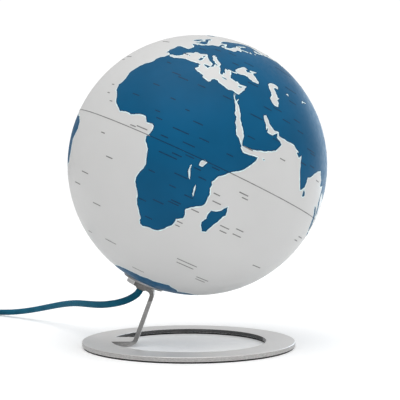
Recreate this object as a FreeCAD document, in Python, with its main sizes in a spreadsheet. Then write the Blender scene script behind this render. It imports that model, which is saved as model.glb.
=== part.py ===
import FreeCAD, Part
import math
import os
import re

import Sketcher
from FreeCAD import Placement, Rotation, Vector

# A desktop globe, lit from inside, on a stand bent from one plate. Lengths in millimetres, angles in
# degrees, +Z up. The origin is on the table straight under the ball's centre. The ball leans to +X.

SIZES = {
    # ball
    "ball_radius": 125.0,
    "ball_height": 174.0,  # of its centre over the table
    "axis_tilt": 25.0,
    "shell_wall": 2.0,
    "band_height": 14.0,
    "band_wall": 1.6,
    # bearing under the south pole, listed outwards from the ball
    "collar_radius": 20.5,
    "collar_drop": 0.1,  # of the collar's flat face below the pole
    "collar_chamfer": 0.6,
    "sleeve_radius": 13.0,
    "sleeve_rise": 6.0,  # of the collar's sleeve above the pole
    "sleeve_gap": 0.2,
    "clamp_radius": 21.0,
    "clamp_rise": 5.6,
    "collar_screw_circle": 16.4,
    "collar_screw_radius": 1.25,
    "collar_screw_head": 2.4,
    "collar_screw_reach": 0.3,  # short of the collar's flat face
    "collar_head_height": 1.6,
    "collar_slot": 0.7,
    "running_gap": 0.1,
    "running_fit": 0.05,
    "bearing_washer": 0.5,
    "bearing_washer_radius": 14.0,
    # tube and its nut
    "tube_wall": 1.1,
    "bush_wall": 0.5,
    "tube_length": 22.0,
    "stop_washer": 1.0,
    "stop_washer_radius": 9.5,
    "stop_nut": 4.0,
    "stop_nut_flats": 14.0,
    "bush_head": 2.4,
    "bush_depth": 6.0,
    "bush_round": 0.6,
    "washer_gap": 0.2,
    "inner_lead_rise": 1.0,  # of the lead's cut end above the tube
    # stand
    "plate": 4.0,
    "foot": 1.5,
    "foot_inset": 1.2,
    "ring_radius": 103.0,
    "ring_hole": 75.0,
    "ring_offset": 8.4,  # of the ring's centre from the origin, towards -X
    "strip_width": 30.0,
    "arm_lean": 20.0,
    "arm_offset": 12.8,  # of the upper bend's corner from the axis, along the flange
    "flange_reach": 15.5,
    "bend_inside": 3.5,
    "edge_round": 0.5,
    "tongue_overlap": 8.0,  # of the strip into the ring
    # lamp holder
    "holder_radius": 14.0,
    "holder_wall": 1.8,
    "holder_cap_height": 17.0,
    "holder_sleeve_height": 31.0,
    "holder_floor": 4.0,
    "holder_chamfer": 3.0,
    "holder_lip": 2.0,
    "core_sink": 2.0,  # of the ceramic core into the cap
    "core_radius": 10.6,
    "core_height": 20.0,
    "contact_radius": 7.1,
    "contact_wall": 0.4,
    "contact_height": 17.0,
    "terminal_radius": 1.5,
    "terminal_offset": 6.6,
    "terminal_depth": 10.0,
    "wire_depth": 5.0,
    "tongue_width": 4.0,
    "tongue_sheet": 0.5,
    # bulb
    "bulb_seat": 4.0,  # of the cap's end above the screw contact's end
    "bulb_cap_chamfer": 1.5,
    "insulator_rim": 1.6,
    "housing_inset": 2.2,
    "housing_foot": 3.0,
    "housing_flare": 0.6,
    "housing_crown": 7.0,
    "housing_taper": 1.4,
    "bulb_cap_radius": 6.9,
    "bulb_cap_height": 17.0,
    "bulb_cap_sheet": 0.5,
    "bulb_tip_radius": 2.4,
    "bulb_tip_height": 2.0,
    "bulb_neck_radius": 9.6,
    "bulb_shoulder_radius": 17.0,
    "bulb_body_height": 26.0,
    "bulb_body_wall": 1.5,
    "bulb_radius": 22.5,
    "bulb_glass": 1.0,
    "board_thickness": 1.2,
    "chip_side": 2.8,
    "chip_height": 0.7,
    "chip_circle": 9.5,
    # lead
    "lead_radius": 3.4,
    "wire_radius": 1.1,
    "coil_radius": 35.0,
    "coil_columns": 3.0,
    "coil_layers": 2.0,
    "tie_width": 9.0,
    "tie_sheet": 0.8,
    # in-line switch
    "switch_length": 58.0,
    "switch_width": 26.0,
    "switch_split": 7.0,
    "switch_height": 16.0,
    "switch_wall": 1.8,
    "switch_corner": 8.0,
    "switch_round": 1.5,
    "window_length": 16.6,
    "window_width": 11.6,
    "rocker_gap": 0.5,
    "rocker_drop": 2.8,  # of its pin below the cover's top
    "rocker_end": 3.9,
    "rocker_middle": 3.2,
    "rocker_under": 2.0,
    "rocker_nub": 5.0,
    "rocker_nub_width": 1.2,
    "rocker_play": 0.4,  # more than the gap, for the swing
    "rocker_swing": 14.0,
    "pin_radius": 1.0,
    "rib_width": 5.0,
    "rib_sheet": 2.0,
    "post_radius": 2.6,
    "post_x": 17.5,
    "post_y": 7.6,
    "switch_screw_radius": 1.25,
    "switch_screw_head": 2.3,
    "screw_head_height": 1.2,
    "screw_sink": 0.3,
    "screw_reach": 3.5,  # of its tip into the cover
    "screw_slot": 0.7,
    "leaf_length": 9.0,
    "leaf_width": 4.0,
    "leaf_sheet": 0.5,
    "leaf_gap": 0.5,
    "leaf_apart": 1.6,
    "grip_share": 0.381,  # of the room between the lead and the cover's roof
    "grip_length": 3.2,
    "grip_width": 9.0,
    "grip_inset": 3.0,
    # plug
    "boot_length": 20.0,
    "boot_tip_radius": 4.6,
    "boot_base_radius": 6.2,
    "plug_thickness": 14.0,
    "plug_back_width": 13.6,
    "plug_width": 35.0,
    "plug_front_width": 27.0,
    "plug_flare": 14.0,
    "plug_length": 36.0,
    "plug_round": 2.5,
    "plug_shoulder": 5.0,
    "boot_root": 2.0,  # of the boot inside the body
    "prong_radius": 2.0,
    "prong_length": 19.0,
    "prong_spread": 9.4,
    "prong_core": 1.5,
    "sleeve_length": 10.0,
    "prong_depth": 8.0,
}

# The lead's route, point by point: down out of the bush, out behind the stand in one free sweep, along
# the table to the coil, and from the coil to the switch and the plug. Height is of the lead's middle.
RUN_POINTS = [
    (-55.8, 0.0, 54.2),
    (-57.4, 0.0, 50.8),
    (-61.8, 0.2, 47.2),
    (-69.4, 1.0, 43.2),
    (-80.0, 5.0, 40.0),
    (-95.0, 18.0, 37.0),
    (-111.5, 44.0, 35.0),
    (-129.5, 80.0, 32.4),
    (-149.5, 118.0, 27.2),
    (-172.0, 154.0, 20.2),
    (-197.0, 186.0, 12.8),
    (-224.0, 213.0, 7.0),
    (-249.0, 236.0, 4.0),
    (-272.0, 250.5, 3.4),
    (-299.0, 252.8, 3.4),
]
SWITCH_POINTS = [
    (-340.8, 211.0, 10.2),
    (-340.2, 190.0, 9.1),
    (-337.3, 169.5, 5.7),
    (-332.0, 150.5, 4.1),
    (-326.0, 134.0, 5.0),
    (-317.0, 117.0, 7.0),
    (-308.0, 99.0, 7.0),
]
PLUG_POINTS = [
    (-292.0, 67.0, 7.0),
    (-283.0, 49.0, 7.0),
    (-275.3, 27.5, 5.0),
    (-272.0, 7.0, 3.7),
    (-274.0, -13.5, 4.7),
    (-281.6, -34.0, 7.0),
    (-288.8, -52.0, 7.0),
]
COIL_CENTRE = (-299.0, 211.0)
SWITCH_CENTRE = (-300.0, 83.0)
BOOT_TIP = (-284.8, -42.0)
TURN_SHARE = 0.45  # of the shorter run, taken up by each arc of the lead
TIE_ANGLE = -50  # of the coil's tie, about the coil
COLLAR_SCREWS = 3
LIGHT_CHIPS = 6
PAST = "1"  # how far a cutting solid stands past the face that it cuts
LONG = "40"  # a cutting solid's length where it only has to be long enough
SAME = 0.01  # two lengths, or two volumes by their ratio, closer than this are the same

doc = FreeCAD.newDocument("DesktopGlobe")
sheet = doc.addObject("Spreadsheet::Sheet", "Sizes")
for row, (name, number) in enumerate(SIZES.items(), start=1):
    sheet.set(f"A{row}", name)
    sheet.set(f"B{row}", str(number))
    sheet.setAlias(f"B{row}", name)
doc.recompute()

nodes = []


# ---------------------------------------------------------------- helpers


def bound(text):
    """An expression in which every size is read from the sheet."""
    return re.sub(r"[a-z_]+", lambda word: ("Sizes." if word[0] in SIZES else "") + word[0], text)


def value(text):
    """The number that an expression gives now."""
    return float(sheet.evalExpression(bound(text)))


def bind(obj, **expressions):
    """Bind properties of obj; a double underscore in a name stands for a dot."""
    for path, text in expressions.items():
        obj.setExpression(path.replace("__", "."), bound(text))


def label(obj, name):
    """Make obj the sub-part of that name."""
    obj.Label = name
    nodes.append(obj)
    return obj


def at(obj, x="0", y="0", z="0"):
    bind(obj, Placement__Base__x=x, Placement__Base__y=y, Placement__Base__z=z)
    return obj


def cylinder(radius, height, x="0", y="0", z="0"):
    """An upright cylinder from z up, or down where its height is along -Z."""
    obj = doc.addObject("Part::Cylinder", "Cylinder")
    bind(obj, Radius=radius, Height=height)
    return at(obj, x, y, z)


def cylinder_along(direction, radius, length, x="0", y="0", z="0"):
    """A cylinder from the point x, y, z along a horizontal direction."""
    obj = cylinder(radius, length)
    obj.Placement = Placement(Vector(), Rotation(Vector(0, 0, 1), Vector(*direction)))
    return at(obj, x, y, z)


def sphere(radius, south="-90", north="90"):
    obj = doc.addObject("Part::Sphere", "Sphere")
    bind(obj, Radius=radius, Angle1=south, Angle2=north)
    return obj


def block(length, width, height, x="0", y="0", z="0"):
    """A box centred on x and y, from z up."""
    obj = doc.addObject("Part::Box", "Box")
    bind(obj, Length=length, Width=width, Height=height)
    return at(obj, f"({x}) - ({length}) / 2", f"({y}) - ({width}) / 2", z)


def cut(base, *tools):
    obj = doc.addObject("Part::Cut", "Cut")
    obj.Base = base
    obj.Tool = tools[0] if len(tools) == 1 else fuse(*tools)
    return obj


def fuse(*shapes):
    obj = doc.addObject("Part::MultiFuse", "Fuse")
    obj.Shapes = list(shapes)
    return obj


def common(*shapes):
    obj = doc.addObject("Part::MultiCommon", "Common")
    obj.Shapes = list(shapes)
    return obj


def group(*shapes):
    """Separate solids of one node."""
    obj = doc.addObject("Part::Compound", "Group")
    obj.Links = list(shapes)
    return obj


def new_body(name):
    return doc.addObject("PartDesign::Body", name)


def sketch_on(body, plane, height="0"):
    """An empty sketch on one of the body's origin planes, raised along its normal."""
    sketch = body.newObject("Sketcher::SketchObject", "Sketch")
    origin_plane = next(f for f in body.Origin.OriginFeatures if f.Role == plane)
    sketch.AttachmentSupport = [(origin_plane, "")]
    sketch.MapMode = "FlatFace"
    bind(sketch, AttachmentOffset__Base__z=height)
    return sketch


def outline(sketch, corners):
    """A closed outline of straight lines through corners, each a pair of expressions."""
    places = [Vector(value(x), value(y), 0) for x, y in corners]
    first = sketch.GeometryCount
    for k, place in enumerate(places):
        sketch.addGeometry(Part.LineSegment(place, places[(k + 1) % len(places)]), False)
    for k, (x, y) in enumerate(corners):
        line = first + k
        following = first + (k + 1) % len(corners)
        sketch.addConstraint(Sketcher.Constraint("Coincident", line, 2, following, 1))
        for kind, text, number in (("DistanceX", x, places[k].x), ("DistanceY", y, places[k].y)):
            index = sketch.addConstraint(Sketcher.Constraint(kind, -1, 1, line, 1, number))
            sketch.setExpression(f"Constraints[{index}]", bound(text))


def circle(sketch, radius, x="0", y="0"):
    shape = Part.Circle(Vector(value(x), value(y), 0), Vector(0, 0, 1), value(radius))
    line = sketch.addGeometry(shape, False)
    centre = (-1, 1, line, 3)
    constraints = (("Radius", (line,), radius), ("DistanceX", centre, x), ("DistanceY", centre, y))
    for kind, points, text in constraints:
        index = sketch.addConstraint(Sketcher.Constraint(kind, *points, value(text)))
        sketch.setExpression(f"Constraints[{index}]", bound(text))


def pad(body, sketch, length, midplane=False):
    feature = body.newObject("PartDesign::Pad", "Pad")
    feature.Profile = sketch
    feature.SideType = "Symmetric" if midplane else "One side"
    bind(feature, Length=length)
    body.Tip = feature
    return feature


def turned(name, corners):
    """A body turned about Z from an outline of radius and height pairs."""
    body = new_body(name)
    sketch = sketch_on(body, "XZ_Plane")
    outline(sketch, corners)
    feature = body.newObject("PartDesign::Revolution", "Revolution")
    feature.Profile = sketch
    feature.ReferenceAxis = (sketch, ["V_Axis"])
    feature.Angle = 360
    body.Tip = feature
    return body


def rounded(body, base, radius, wanted):
    """Round those edges of base for which wanted says yes."""
    doc.recompute()
    names = [f"Edge{k}" for k, edge in enumerate(base.Shape.Edges, start=1) if wanted(edge)]
    feature = body.newObject("PartDesign::Fillet", "Fillet")
    feature.Base = (base, names)
    bind(feature, Radius=radius)
    body.Tip = feature
    return feature


def on_axis(obj):
    """Stand obj, modelled about Z with the ball's centre at zero, on the ball's leaning axis."""
    lean = Rotation(Vector(0, 1, 0), value("axis_tilt"))
    obj.Placement = Placement(Vector(0, 0, value("ball_height")), lean)
    bind(obj, Placement__Base__z="ball_height", Placement__Rotation__Angle="axis_tilt")
    return obj


def heading(start, end):
    """The turn about Z that points +X from one point to another."""
    return math.degrees(math.atan2(end[1] - start[1], end[0] - start[0]))


SWITCH_YAW = heading(SWITCH_POINTS[-1], PLUG_POINTS[0])
PLUG_YAW = heading(BOOT_TIP, PLUG_POINTS[-1])


def laid(obj, centre, yaw):
    """Lay obj on the table, turned by yaw."""
    obj.Placement = Placement(Vector(*centre, 0), Rotation(Vector(0, 0, 1), yaw))
    return obj


# ---------------------------------------------------------------- what the lead's size decides

TUBE_BORE = "(lead_radius + bush_wall)"
TUBE_RADIUS = f"({TUBE_BORE} + tube_wall)"
COIL_ACROSS = "(coil_columns * 2 * lead_radius)"
COIL_THICKNESS = "(coil_layers * 2 * lead_radius)"


# ---------------------------------------------------------------- places along the ball's axis

COLLAR_FACE = "(-ball_radius - collar_drop)"
WASHER_TOP = f"({COLLAR_FACE} - running_gap)"
FLANGE_TOP = f"({WASHER_TOP} - bearing_washer)"
FLANGE_UNDER = f"({FLANGE_TOP} - plate)"
LEAD_EXIT = f"({FLANGE_UNDER} - bush_head)"
SLEEVE_TOP = "(-ball_radius + sleeve_rise)"
STOP_UNDER = f"({SLEEVE_TOP} + running_gap)"
NUT_UNDER = f"({STOP_UNDER} + stop_washer)"
HOLDER_UNDER = f"({NUT_UNDER} + stop_nut)"
CAP_TOP = f"({HOLDER_UNDER} + holder_cap_height)"
HOLDER_TOP = f"({CAP_TOP} + holder_sleeve_height)"
TUBE_TOP = f"({FLANGE_UNDER} + tube_length)"
INNER_LEAD_TOP = f"({TUBE_TOP} + inner_lead_rise)"
CORE_UNDER = f"({CAP_TOP} - core_sink)"
CONTACT_TOP = f"({HOLDER_TOP} - holder_lip)"
CONTACT_UNDER = f"({CONTACT_TOP} - contact_height)"
BULB_CAP_UNDER = f"({CONTACT_UNDER} + bulb_seat)"
BULB_CAP_TOP = f"({BULB_CAP_UNDER} + bulb_cap_height)"
BOARD_UNDER = f"({BULB_CAP_TOP} + bulb_body_height)"


# ---------------------------------------------------------------- the ball


def shell_zone(south, north):
    """Half of the ball's shell."""
    inside = "ball_radius - shell_wall"
    return cut(sphere("ball_radius", south, north), sphere(inside, south, north))


def collar_screw_place(k):
    """x and y of one of the three collar screws."""
    angle = 360 / COLLAR_SCREWS * k
    return f"collar_screw_circle * cos({angle})", f"collar_screw_circle * sin({angle})"


def collar_shanks():
    """The three screws' shanks, from the clamp ring down to their tips in the collar."""
    reach = "clamp_rise + collar_drop - collar_screw_reach"
    under = f"{COLLAR_FACE} + collar_screw_reach"
    places = [collar_screw_place(k) for k in range(COLLAR_SCREWS)]
    return [cylinder("collar_screw_radius", reach, x, y, under) for x, y in places]


def build_ball():
    label(on_axis(shell_zone("0", "90")), "north_shell")
    pole_hole = cylinder("sleeve_radius + sleeve_gap", LONG, z=f"-ball_radius - {LONG} / 2")
    label(on_axis(cut(shell_zone("-90", "0"), pole_hole, *collar_shanks())), "south_shell")

    zone = "asin(band_height / 2 / (ball_radius - shell_wall))"
    seat = sphere("ball_radius - shell_wall", f"-{zone}", zone)
    inside = cylinder("ball_radius - shell_wall - band_wall", "band_height", z="-band_height / 2")
    label(on_axis(cut(seat, inside)), "joining_band")

    disc = turned(
        "CollarDisc",
        [
            ("0", COLLAR_FACE),
            ("collar_radius - collar_chamfer", COLLAR_FACE),
            ("collar_radius", f"{COLLAR_FACE} + collar_chamfer"),
            ("collar_radius", "0"),
            ("0", "0"),
        ],
    )
    plate = cut(disc, sphere("ball_radius"))
    sleeve = cylinder("sleeve_radius", f"{SLEEVE_TOP} - {COLLAR_FACE}", z=COLLAR_FACE)
    bore = cylinder(f"{TUBE_RADIUS} + running_fit", LONG, z=f"-ball_radius - {LONG} / 2")
    label(on_axis(cut(fuse(plate, sleeve), bore, *collar_shanks())), "pole_collar")

    inner_ball = sphere("ball_radius - shell_wall")
    ring = cylinder("clamp_radius", "clamp_rise + shell_wall", z="-ball_radius - shell_wall")
    opening = cylinder("sleeve_radius + sleeve_gap", LONG, z=f"-ball_radius - {LONG} / 2")
    label(on_axis(cut(common(ring, inner_ball), opening, *collar_shanks())), "clamp_ring")

    screws = []
    head_z = "-ball_radius + clamp_rise"
    slot_z = f"{head_z} + collar_head_height / 2"
    for k, shank in enumerate(collar_shanks()):
        x, y = collar_screw_place(k)
        head = cylinder("collar_screw_head", "collar_head_height", x, y, head_z)
        slot = block("collar_slot", "4 * collar_slot", "collar_head_height", x, y, slot_z)
        cross = block("4 * collar_slot", "collar_slot", "collar_head_height", x, y, slot_z)
        screws.append(cut(fuse(shank, head), slot, cross))
    label(on_axis(group(*screws)), "collar_screws")


# ---------------------------------------------------------------- the stand

TILT_SIN = "sin(axis_tilt)"
TILT_COS = "cos(axis_tilt)"
LEAN_SIN = "sin(arm_lean)"
LEAN_COS = "cos(arm_lean)"
RING_TOP = "(foot + plate)"


def flange_point(along, down):
    """x and z of a point in the flange: along it from the axis, and down the axis from the centre."""
    x = f"(({along}) * {TILT_COS} - ({down}) * {TILT_SIN})"
    z = f"(ball_height - ({along}) * {TILT_SIN} - ({down}) * {TILT_COS})"
    return x, z


def strip_corners():
    """The bent strip from the side: along the tongue's top, the arm's left and the flange's underside
    to the flange's end, and back along its other face."""
    upper_x, upper_z = flange_point("arm_offset", f"-{FLANGE_UNDER} - plate / 2")
    lower_x = f"({upper_x} - ({upper_z} - foot - plate / 2) * tan(arm_lean))"
    lower_z = "(foot + plate / 2)"
    start_x = "(-ring_offset - ring_hole - tongue_overlap)"
    half = "plate / 2"
    lower_shift = f"{half} * {LEAN_COS} / (1 + {LEAN_SIN})"
    spread = "(1 + sin(axis_tilt - arm_lean))"
    upper_shift_x = f"{half} * ({LEAN_COS} + {TILT_SIN}) / {spread}"
    upper_shift_z = f"{half} * ({LEAN_SIN} - {TILT_COS}) / {spread}"
    inside = [
        (start_x, RING_TOP),
        (f"{lower_x} - {lower_shift}", RING_TOP),
        (f"{upper_x} - {upper_shift_x}", f"{upper_z} + {upper_shift_z}"),
        flange_point("-flange_reach", f"-{FLANGE_UNDER}"),
    ]
    outside = [
        flange_point("-flange_reach", f"-{FLANGE_TOP}"),
        (f"{upper_x} + {upper_shift_x}", f"{upper_z} - {upper_shift_z}"),
        (f"{lower_x} + {lower_shift}", "foot"),
        (start_x, "foot"),
    ]
    return inside, outside


def bend_edge(corner):
    """Whether an edge is the sharp line across the strip at that corner."""
    x, z = (value(text) for text in corner)

    def wanted(edge):
        middle = edge.CenterOfMass
        return math.hypot(middle.x - x, middle.z - z) < SAME and abs(middle.y) < SAME

    return wanted


def ring_rim(edge):
    """Whether an edge is one of the ring's round rims."""
    curve = edge.Curve
    if not isinstance(curve, Part.Circle):
        return False
    return any(abs(curve.Radius - value(name)) < SAME for name in ("ring_radius", "ring_hole"))


def build_stand():
    inside, outside = strip_corners()
    body = new_body("StandPlate")
    ring = sketch_on(body, "XY_Plane", "foot")
    circle(ring, "ring_radius", "-ring_offset")
    circle(ring, "ring_hole", "-ring_offset")
    pad(body, ring, "plate")
    side = sketch_on(body, "XZ_Plane")
    outline(side, inside + outside)
    strip = pad(body, side, "strip_width", midplane=True)
    bends = strip
    for corner, radius in (
        (inside[1], "bend_inside"),
        (inside[2], "bend_inside"),
        (outside[1], "bend_inside + plate"),
        (outside[2], "bend_inside + plate"),
    ):
        bends = rounded(body, bends, radius, bend_edge(corner))
    rounded(body, bends, "edge_round", ring_rim)

    end_centre = "-flange_reach + strip_width / 2"
    through = f"plate + 2 * {PAST}"
    under = f"{FLANGE_UNDER} - {PAST}"
    wide = f"strip_width + 2 * {PAST}"
    end_block = block("strip_width / 2", wide, through, f"{end_centre} - strip_width / 4", "0", under)
    end_round = cylinder("strip_width / 2", through, end_centre, "0", under)
    tube_hole = cylinder(TUBE_RADIUS, through, z=under)
    tools = on_axis(fuse(cut(end_block, end_round), tube_hole))
    label(cut(body, tools), "stand_plate")

    outer = cylinder("ring_radius - foot_inset", "foot", "-ring_offset")
    hole = cylinder("ring_hole + foot_inset", "foot", "-ring_offset")
    label(cut(outer, hole), "foot_ring")


# ---------------------------------------------------------------- the tube and what is screwed on it


def pipe(name, inner, outer, low, high):
    """A turned ring between two heights on the axis."""
    return turned(name, [(inner, low), (outer, low), (outer, high), (inner, high)])


def hexagon(flats, height, z):
    obj = doc.addObject("Part::Prism", "Hexagon")
    obj.Polygon = 6
    bind(obj, Circumradius=f"({flats}) / sqrt(3)", Height=height)
    return at(obj, z=z)


def build_bearing():
    washer_bore = f"{TUBE_RADIUS} + washer_gap"
    washer = pipe("BearingWasher", washer_bore, "bearing_washer_radius", FLANGE_TOP, WASHER_TOP)
    label(on_axis(washer), "bearing_washer")
    tube = pipe("ThreadedTube", TUBE_BORE, TUBE_RADIUS, FLANGE_UNDER, TUBE_TOP)
    label(on_axis(tube), "threaded_tube")
    stop = pipe("StopWasher", washer_bore, "stop_washer_radius", STOP_UNDER, NUT_UNDER)
    label(on_axis(stop), "stop_washer")
    thread = cylinder(TUBE_RADIUS, "stop_nut", z=NUT_UNDER)
    nut = cut(hexagon("stop_nut_flats", "stop_nut", NUT_UNDER), thread)
    label(on_axis(nut), "stop_nut")
    bush = turned(
        "CableBush",
        [
            ("lead_radius", LEAD_EXIT),
            (f"{TUBE_RADIUS} - bush_round", LEAD_EXIT),
            (TUBE_RADIUS, f"{LEAD_EXIT} + bush_round"),
            (TUBE_RADIUS, FLANGE_UNDER),
            (TUBE_BORE, FLANGE_UNDER),
            (TUBE_BORE, f"{FLANGE_UNDER} + bush_depth"),
            ("lead_radius", f"{FLANGE_UNDER} + bush_depth"),
        ],
    )
    label(on_axis(bush), "cable_bush")
    inner_lead = cylinder("lead_radius", f"{INNER_LEAD_TOP} - {LEAD_EXIT}", z=LEAD_EXIT)
    label(on_axis(group(inner_lead)), "inner_lead")


# ---------------------------------------------------------------- the lamp holder


def build_holder():
    cap = turned(
        "HolderCap",
        [
            (TUBE_RADIUS, HOLDER_UNDER),
            ("holder_radius - holder_chamfer", HOLDER_UNDER),
            ("holder_radius", f"{HOLDER_UNDER} + holder_chamfer"),
            ("holder_radius", CAP_TOP),
            ("holder_radius - holder_wall", CAP_TOP),
            ("holder_radius - holder_wall", f"{HOLDER_UNDER} + holder_floor"),
            (TUBE_RADIUS, f"{HOLDER_UNDER} + holder_floor"),
        ],
    )
    label(on_axis(cap), "holder_cap")
    sleeve = turned(
        "HolderSleeve",
        [
            ("holder_radius - holder_wall", CAP_TOP),
            ("holder_radius", CAP_TOP),
            ("holder_radius", CONTACT_TOP),
            ("holder_radius - holder_lip / 2", HOLDER_TOP),
            ("contact_radius + contact_wall", HOLDER_TOP),
            ("contact_radius + contact_wall", CONTACT_TOP),
            ("holder_radius - holder_wall", CONTACT_TOP),
        ],
    )
    label(on_axis(sleeve), "holder_sleeve")

    core = cylinder("core_radius", "core_height", z=CORE_UNDER)
    socket = cylinder("contact_radius + contact_wall", "core_height", z=CONTACT_UNDER)
    entries = [
        cylinder("terminal_radius", "terminal_depth", f"{side} * terminal_offset", "0", CORE_UNDER)
        for side in (-1, 1)
    ]
    label(on_axis(cut(core, socket, *entries)), "holder_core")

    outside = "contact_radius + contact_wall"
    contact = pipe("ScrewContact", "contact_radius", outside, CONTACT_UNDER, CONTACT_TOP)
    label(on_axis(contact), "screw_contact")

    foot = block("tongue_width", "tongue_width", "tongue_sheet", z=CONTACT_UNDER)
    top_z = f"{BULB_CAP_UNDER} - bulb_tip_height - tongue_sheet"
    rise_x = "-tongue_width / 2 + tongue_sheet / 2"
    rise = block("tongue_sheet", "tongue_width", f"{top_z} - {CONTACT_UNDER}", rise_x, "0", CONTACT_UNDER)
    top = block("tongue_width", "tongue_width", "tongue_sheet", "0", "0", top_z)
    label(on_axis(fuse(foot, rise, top)), "centre_contact")

    screws = []
    for side in (-1, 1):
        x = f"{side} * terminal_offset"
        length = "terminal_depth - wire_depth"
        screws.append(cylinder("terminal_radius", length, x, "0", f"{CORE_UNDER} + wire_depth"))
    label(on_axis(group(*screws)), "terminal_screws")

    for name, side in (("live_wire", 1), ("neutral_wire", -1)):
        label(on_axis(core_wire(name, side)), name)


def core_wire(name, side):
    """A wire from the lead's end up to its terminal: up, slanting outwards, and up again."""
    low = value(INNER_LEAD_TOP)
    high = value(f"{CORE_UNDER} + wire_depth")
    near = side * value("wire_radius + running_gap")
    far = side * value("terminal_offset")
    bends = [low + share * (high - low) for share in (0.2, 0.6)]
    path = tube_path([(near, 0, low), (near, 0, bends[0]), (far, 0, bends[1]), (far, 0, high)])
    obj = doc.addObject("Part::Feature", name)
    obj.Shape = swept(path, value("wire_radius"))
    return obj


# ---------------------------------------------------------------- the bulb


def build_bulb():
    sheet_in = "bulb_cap_radius - bulb_cap_sheet"
    cap = turned(
        "BulbCap",
        [
            ("bulb_tip_radius + insulator_rim", BULB_CAP_UNDER),
            ("bulb_cap_radius - bulb_cap_chamfer", BULB_CAP_UNDER),
            ("bulb_cap_radius", f"{BULB_CAP_UNDER} + bulb_cap_chamfer"),
            ("bulb_cap_radius", BULB_CAP_TOP),
            (sheet_in, BULB_CAP_TOP),
            (sheet_in, f"{BULB_CAP_UNDER} + bulb_cap_sheet + bulb_cap_chamfer"),
            ("bulb_tip_radius + insulator_rim", f"{BULB_CAP_UNDER} + bulb_cap_sheet"),
        ],
    )
    label(on_axis(cap), "bulb_cap")
    insulator = turned(
        "BulbInsulator",
        [
            ("0", BULB_CAP_UNDER),
            ("bulb_tip_radius", BULB_CAP_UNDER),
            ("bulb_tip_radius", f"{BULB_CAP_UNDER} - bulb_tip_height / 2"),
            ("bulb_tip_radius + insulator_rim / 2", f"{BULB_CAP_UNDER} - bulb_tip_height / 2"),
            ("bulb_tip_radius + insulator_rim", BULB_CAP_UNDER),
            ("bulb_tip_radius + insulator_rim", f"{BULB_CAP_UNDER} + bulb_cap_sheet"),
            ("0", f"{BULB_CAP_UNDER} + bulb_cap_sheet"),
        ],
    )
    label(on_axis(insulator), "bulb_insulator")
    tip = cylinder("bulb_tip_radius", "bulb_tip_height", z=f"{BULB_CAP_UNDER} - bulb_tip_height")
    label(on_axis(group(tip)), "bulb_tip")

    neck = "bulb_neck_radius + housing_flare"
    crown = "bulb_shoulder_radius - housing_taper"
    foot_top = f"{BULB_CAP_TOP} + housing_foot"
    crown_under = f"{BOARD_UNDER} - housing_crown"
    housing = turned(
        "BulbHousing",
        [
            ("bulb_cap_radius - housing_inset", BULB_CAP_TOP),
            ("bulb_neck_radius", BULB_CAP_TOP),
            (neck, foot_top),
            (crown, crown_under),
            ("bulb_shoulder_radius", BOARD_UNDER),
            ("bulb_shoulder_radius - bulb_body_wall", BOARD_UNDER),
            (f"{crown} - bulb_body_wall", crown_under),
            (f"{neck} - bulb_body_wall", foot_top),
            ("bulb_cap_radius - housing_inset", f"{BULB_CAP_TOP} + bulb_body_wall"),
        ],
    )
    label(on_axis(housing), "bulb_housing")

    board = cylinder("bulb_shoulder_radius", "board_thickness", z=BOARD_UNDER)
    label(on_axis(group(board)), "bulb_board")
    chips = []
    board_top = f"{BOARD_UNDER} + board_thickness"
    for k in range(LIGHT_CHIPS):
        angle = 360 / LIGHT_CHIPS * k
        x = f"chip_circle * cos({angle})"
        y = f"chip_circle * sin({angle})"
        chips.append(block("chip_side", "chip_side", "chip_height", x, y, board_top))
    label(on_axis(group(*chips)), "light_chips")

    seat = f"({BOARD_UNDER} + board_thickness)"
    middle = f"({seat} + sqrt(bulb_radius^2 - bulb_shoulder_radius^2))"
    outer = at(sphere("bulb_radius"), z=middle)
    inner = at(sphere("bulb_radius - bulb_glass"), z=middle)
    below = cylinder(f"bulb_radius + {PAST}", "bulb_radius * 2", z=f"{seat} - bulb_radius * 2")
    label(on_axis(cut(outer, inner, below)), "bulb_globe")


# ---------------------------------------------------------------- the lead


def tube_path(points):
    """Straight runs joined by tangent arcs, each arc as large as its two runs allow."""
    places = [Vector(*p) for p in points]
    runs = [b - a for a, b in zip(places, places[1:])]
    edges = []
    start = places[0]
    for before, after, corner in zip(runs, runs[1:], places[1:]):
        reach = TURN_SHARE * min(before.Length, after.Length)
        into = Vector(before).normalize()
        out = Vector(after).normalize()
        entry = corner - into * reach
        leave = corner + out * reach
        half_turn = into.getAngle(out) / 2
        inward = (out - into).normalize()
        radius = reach / math.tan(half_turn)
        middle = corner + inward * (radius / math.cos(half_turn) - radius)
        edges.append(Part.LineSegment(start, entry).toShape())
        edges.append(Part.Arc(entry, middle, leave).toShape())
        start = leave
    edges.append(Part.LineSegment(start, places[-1]).toShape())
    return Part.Wire(edges)


def swept(path, radius):
    """A round tube along a path, with its volume compared with its section times its length."""
    first = path.Edges[0]
    along = first.tangentAt(first.FirstParameter)
    section = Part.Wire([Part.Circle(path.Vertexes[0].Point, along, radius).toShape()])
    tube = path.makePipeShell([section], True, False)
    expected = math.pi * radius**2 * path.Length
    if abs(tube.Volume / expected - 1) > SAME:
        raise RuntimeError(f"tube volume {tube.Volume:.0f} is not {expected:.0f}")
    return tube


def lead(name, points, *stops):
    """A stretch of lead, ending at the faces of the solids that it meets."""
    path = tube_path(points)
    arcs = [edge.Curve.Radius for edge in path.Edges if isinstance(edge.Curve, Part.Circle)]
    print(name, "length", round(path.Length, 1), "radii", [round(radius) for radius in arcs])
    shape = swept(path, value("lead_radius"))
    for stop in stops:
        shape = shape.cut(stop.Shape)
    if len(shape.Solids) != 1:
        shape = max(shape.Solids, key=lambda solid: solid.Volume)
    obj = doc.addObject("Part::Feature", name)
    obj.Shape = shape
    return label(obj, name)


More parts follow.
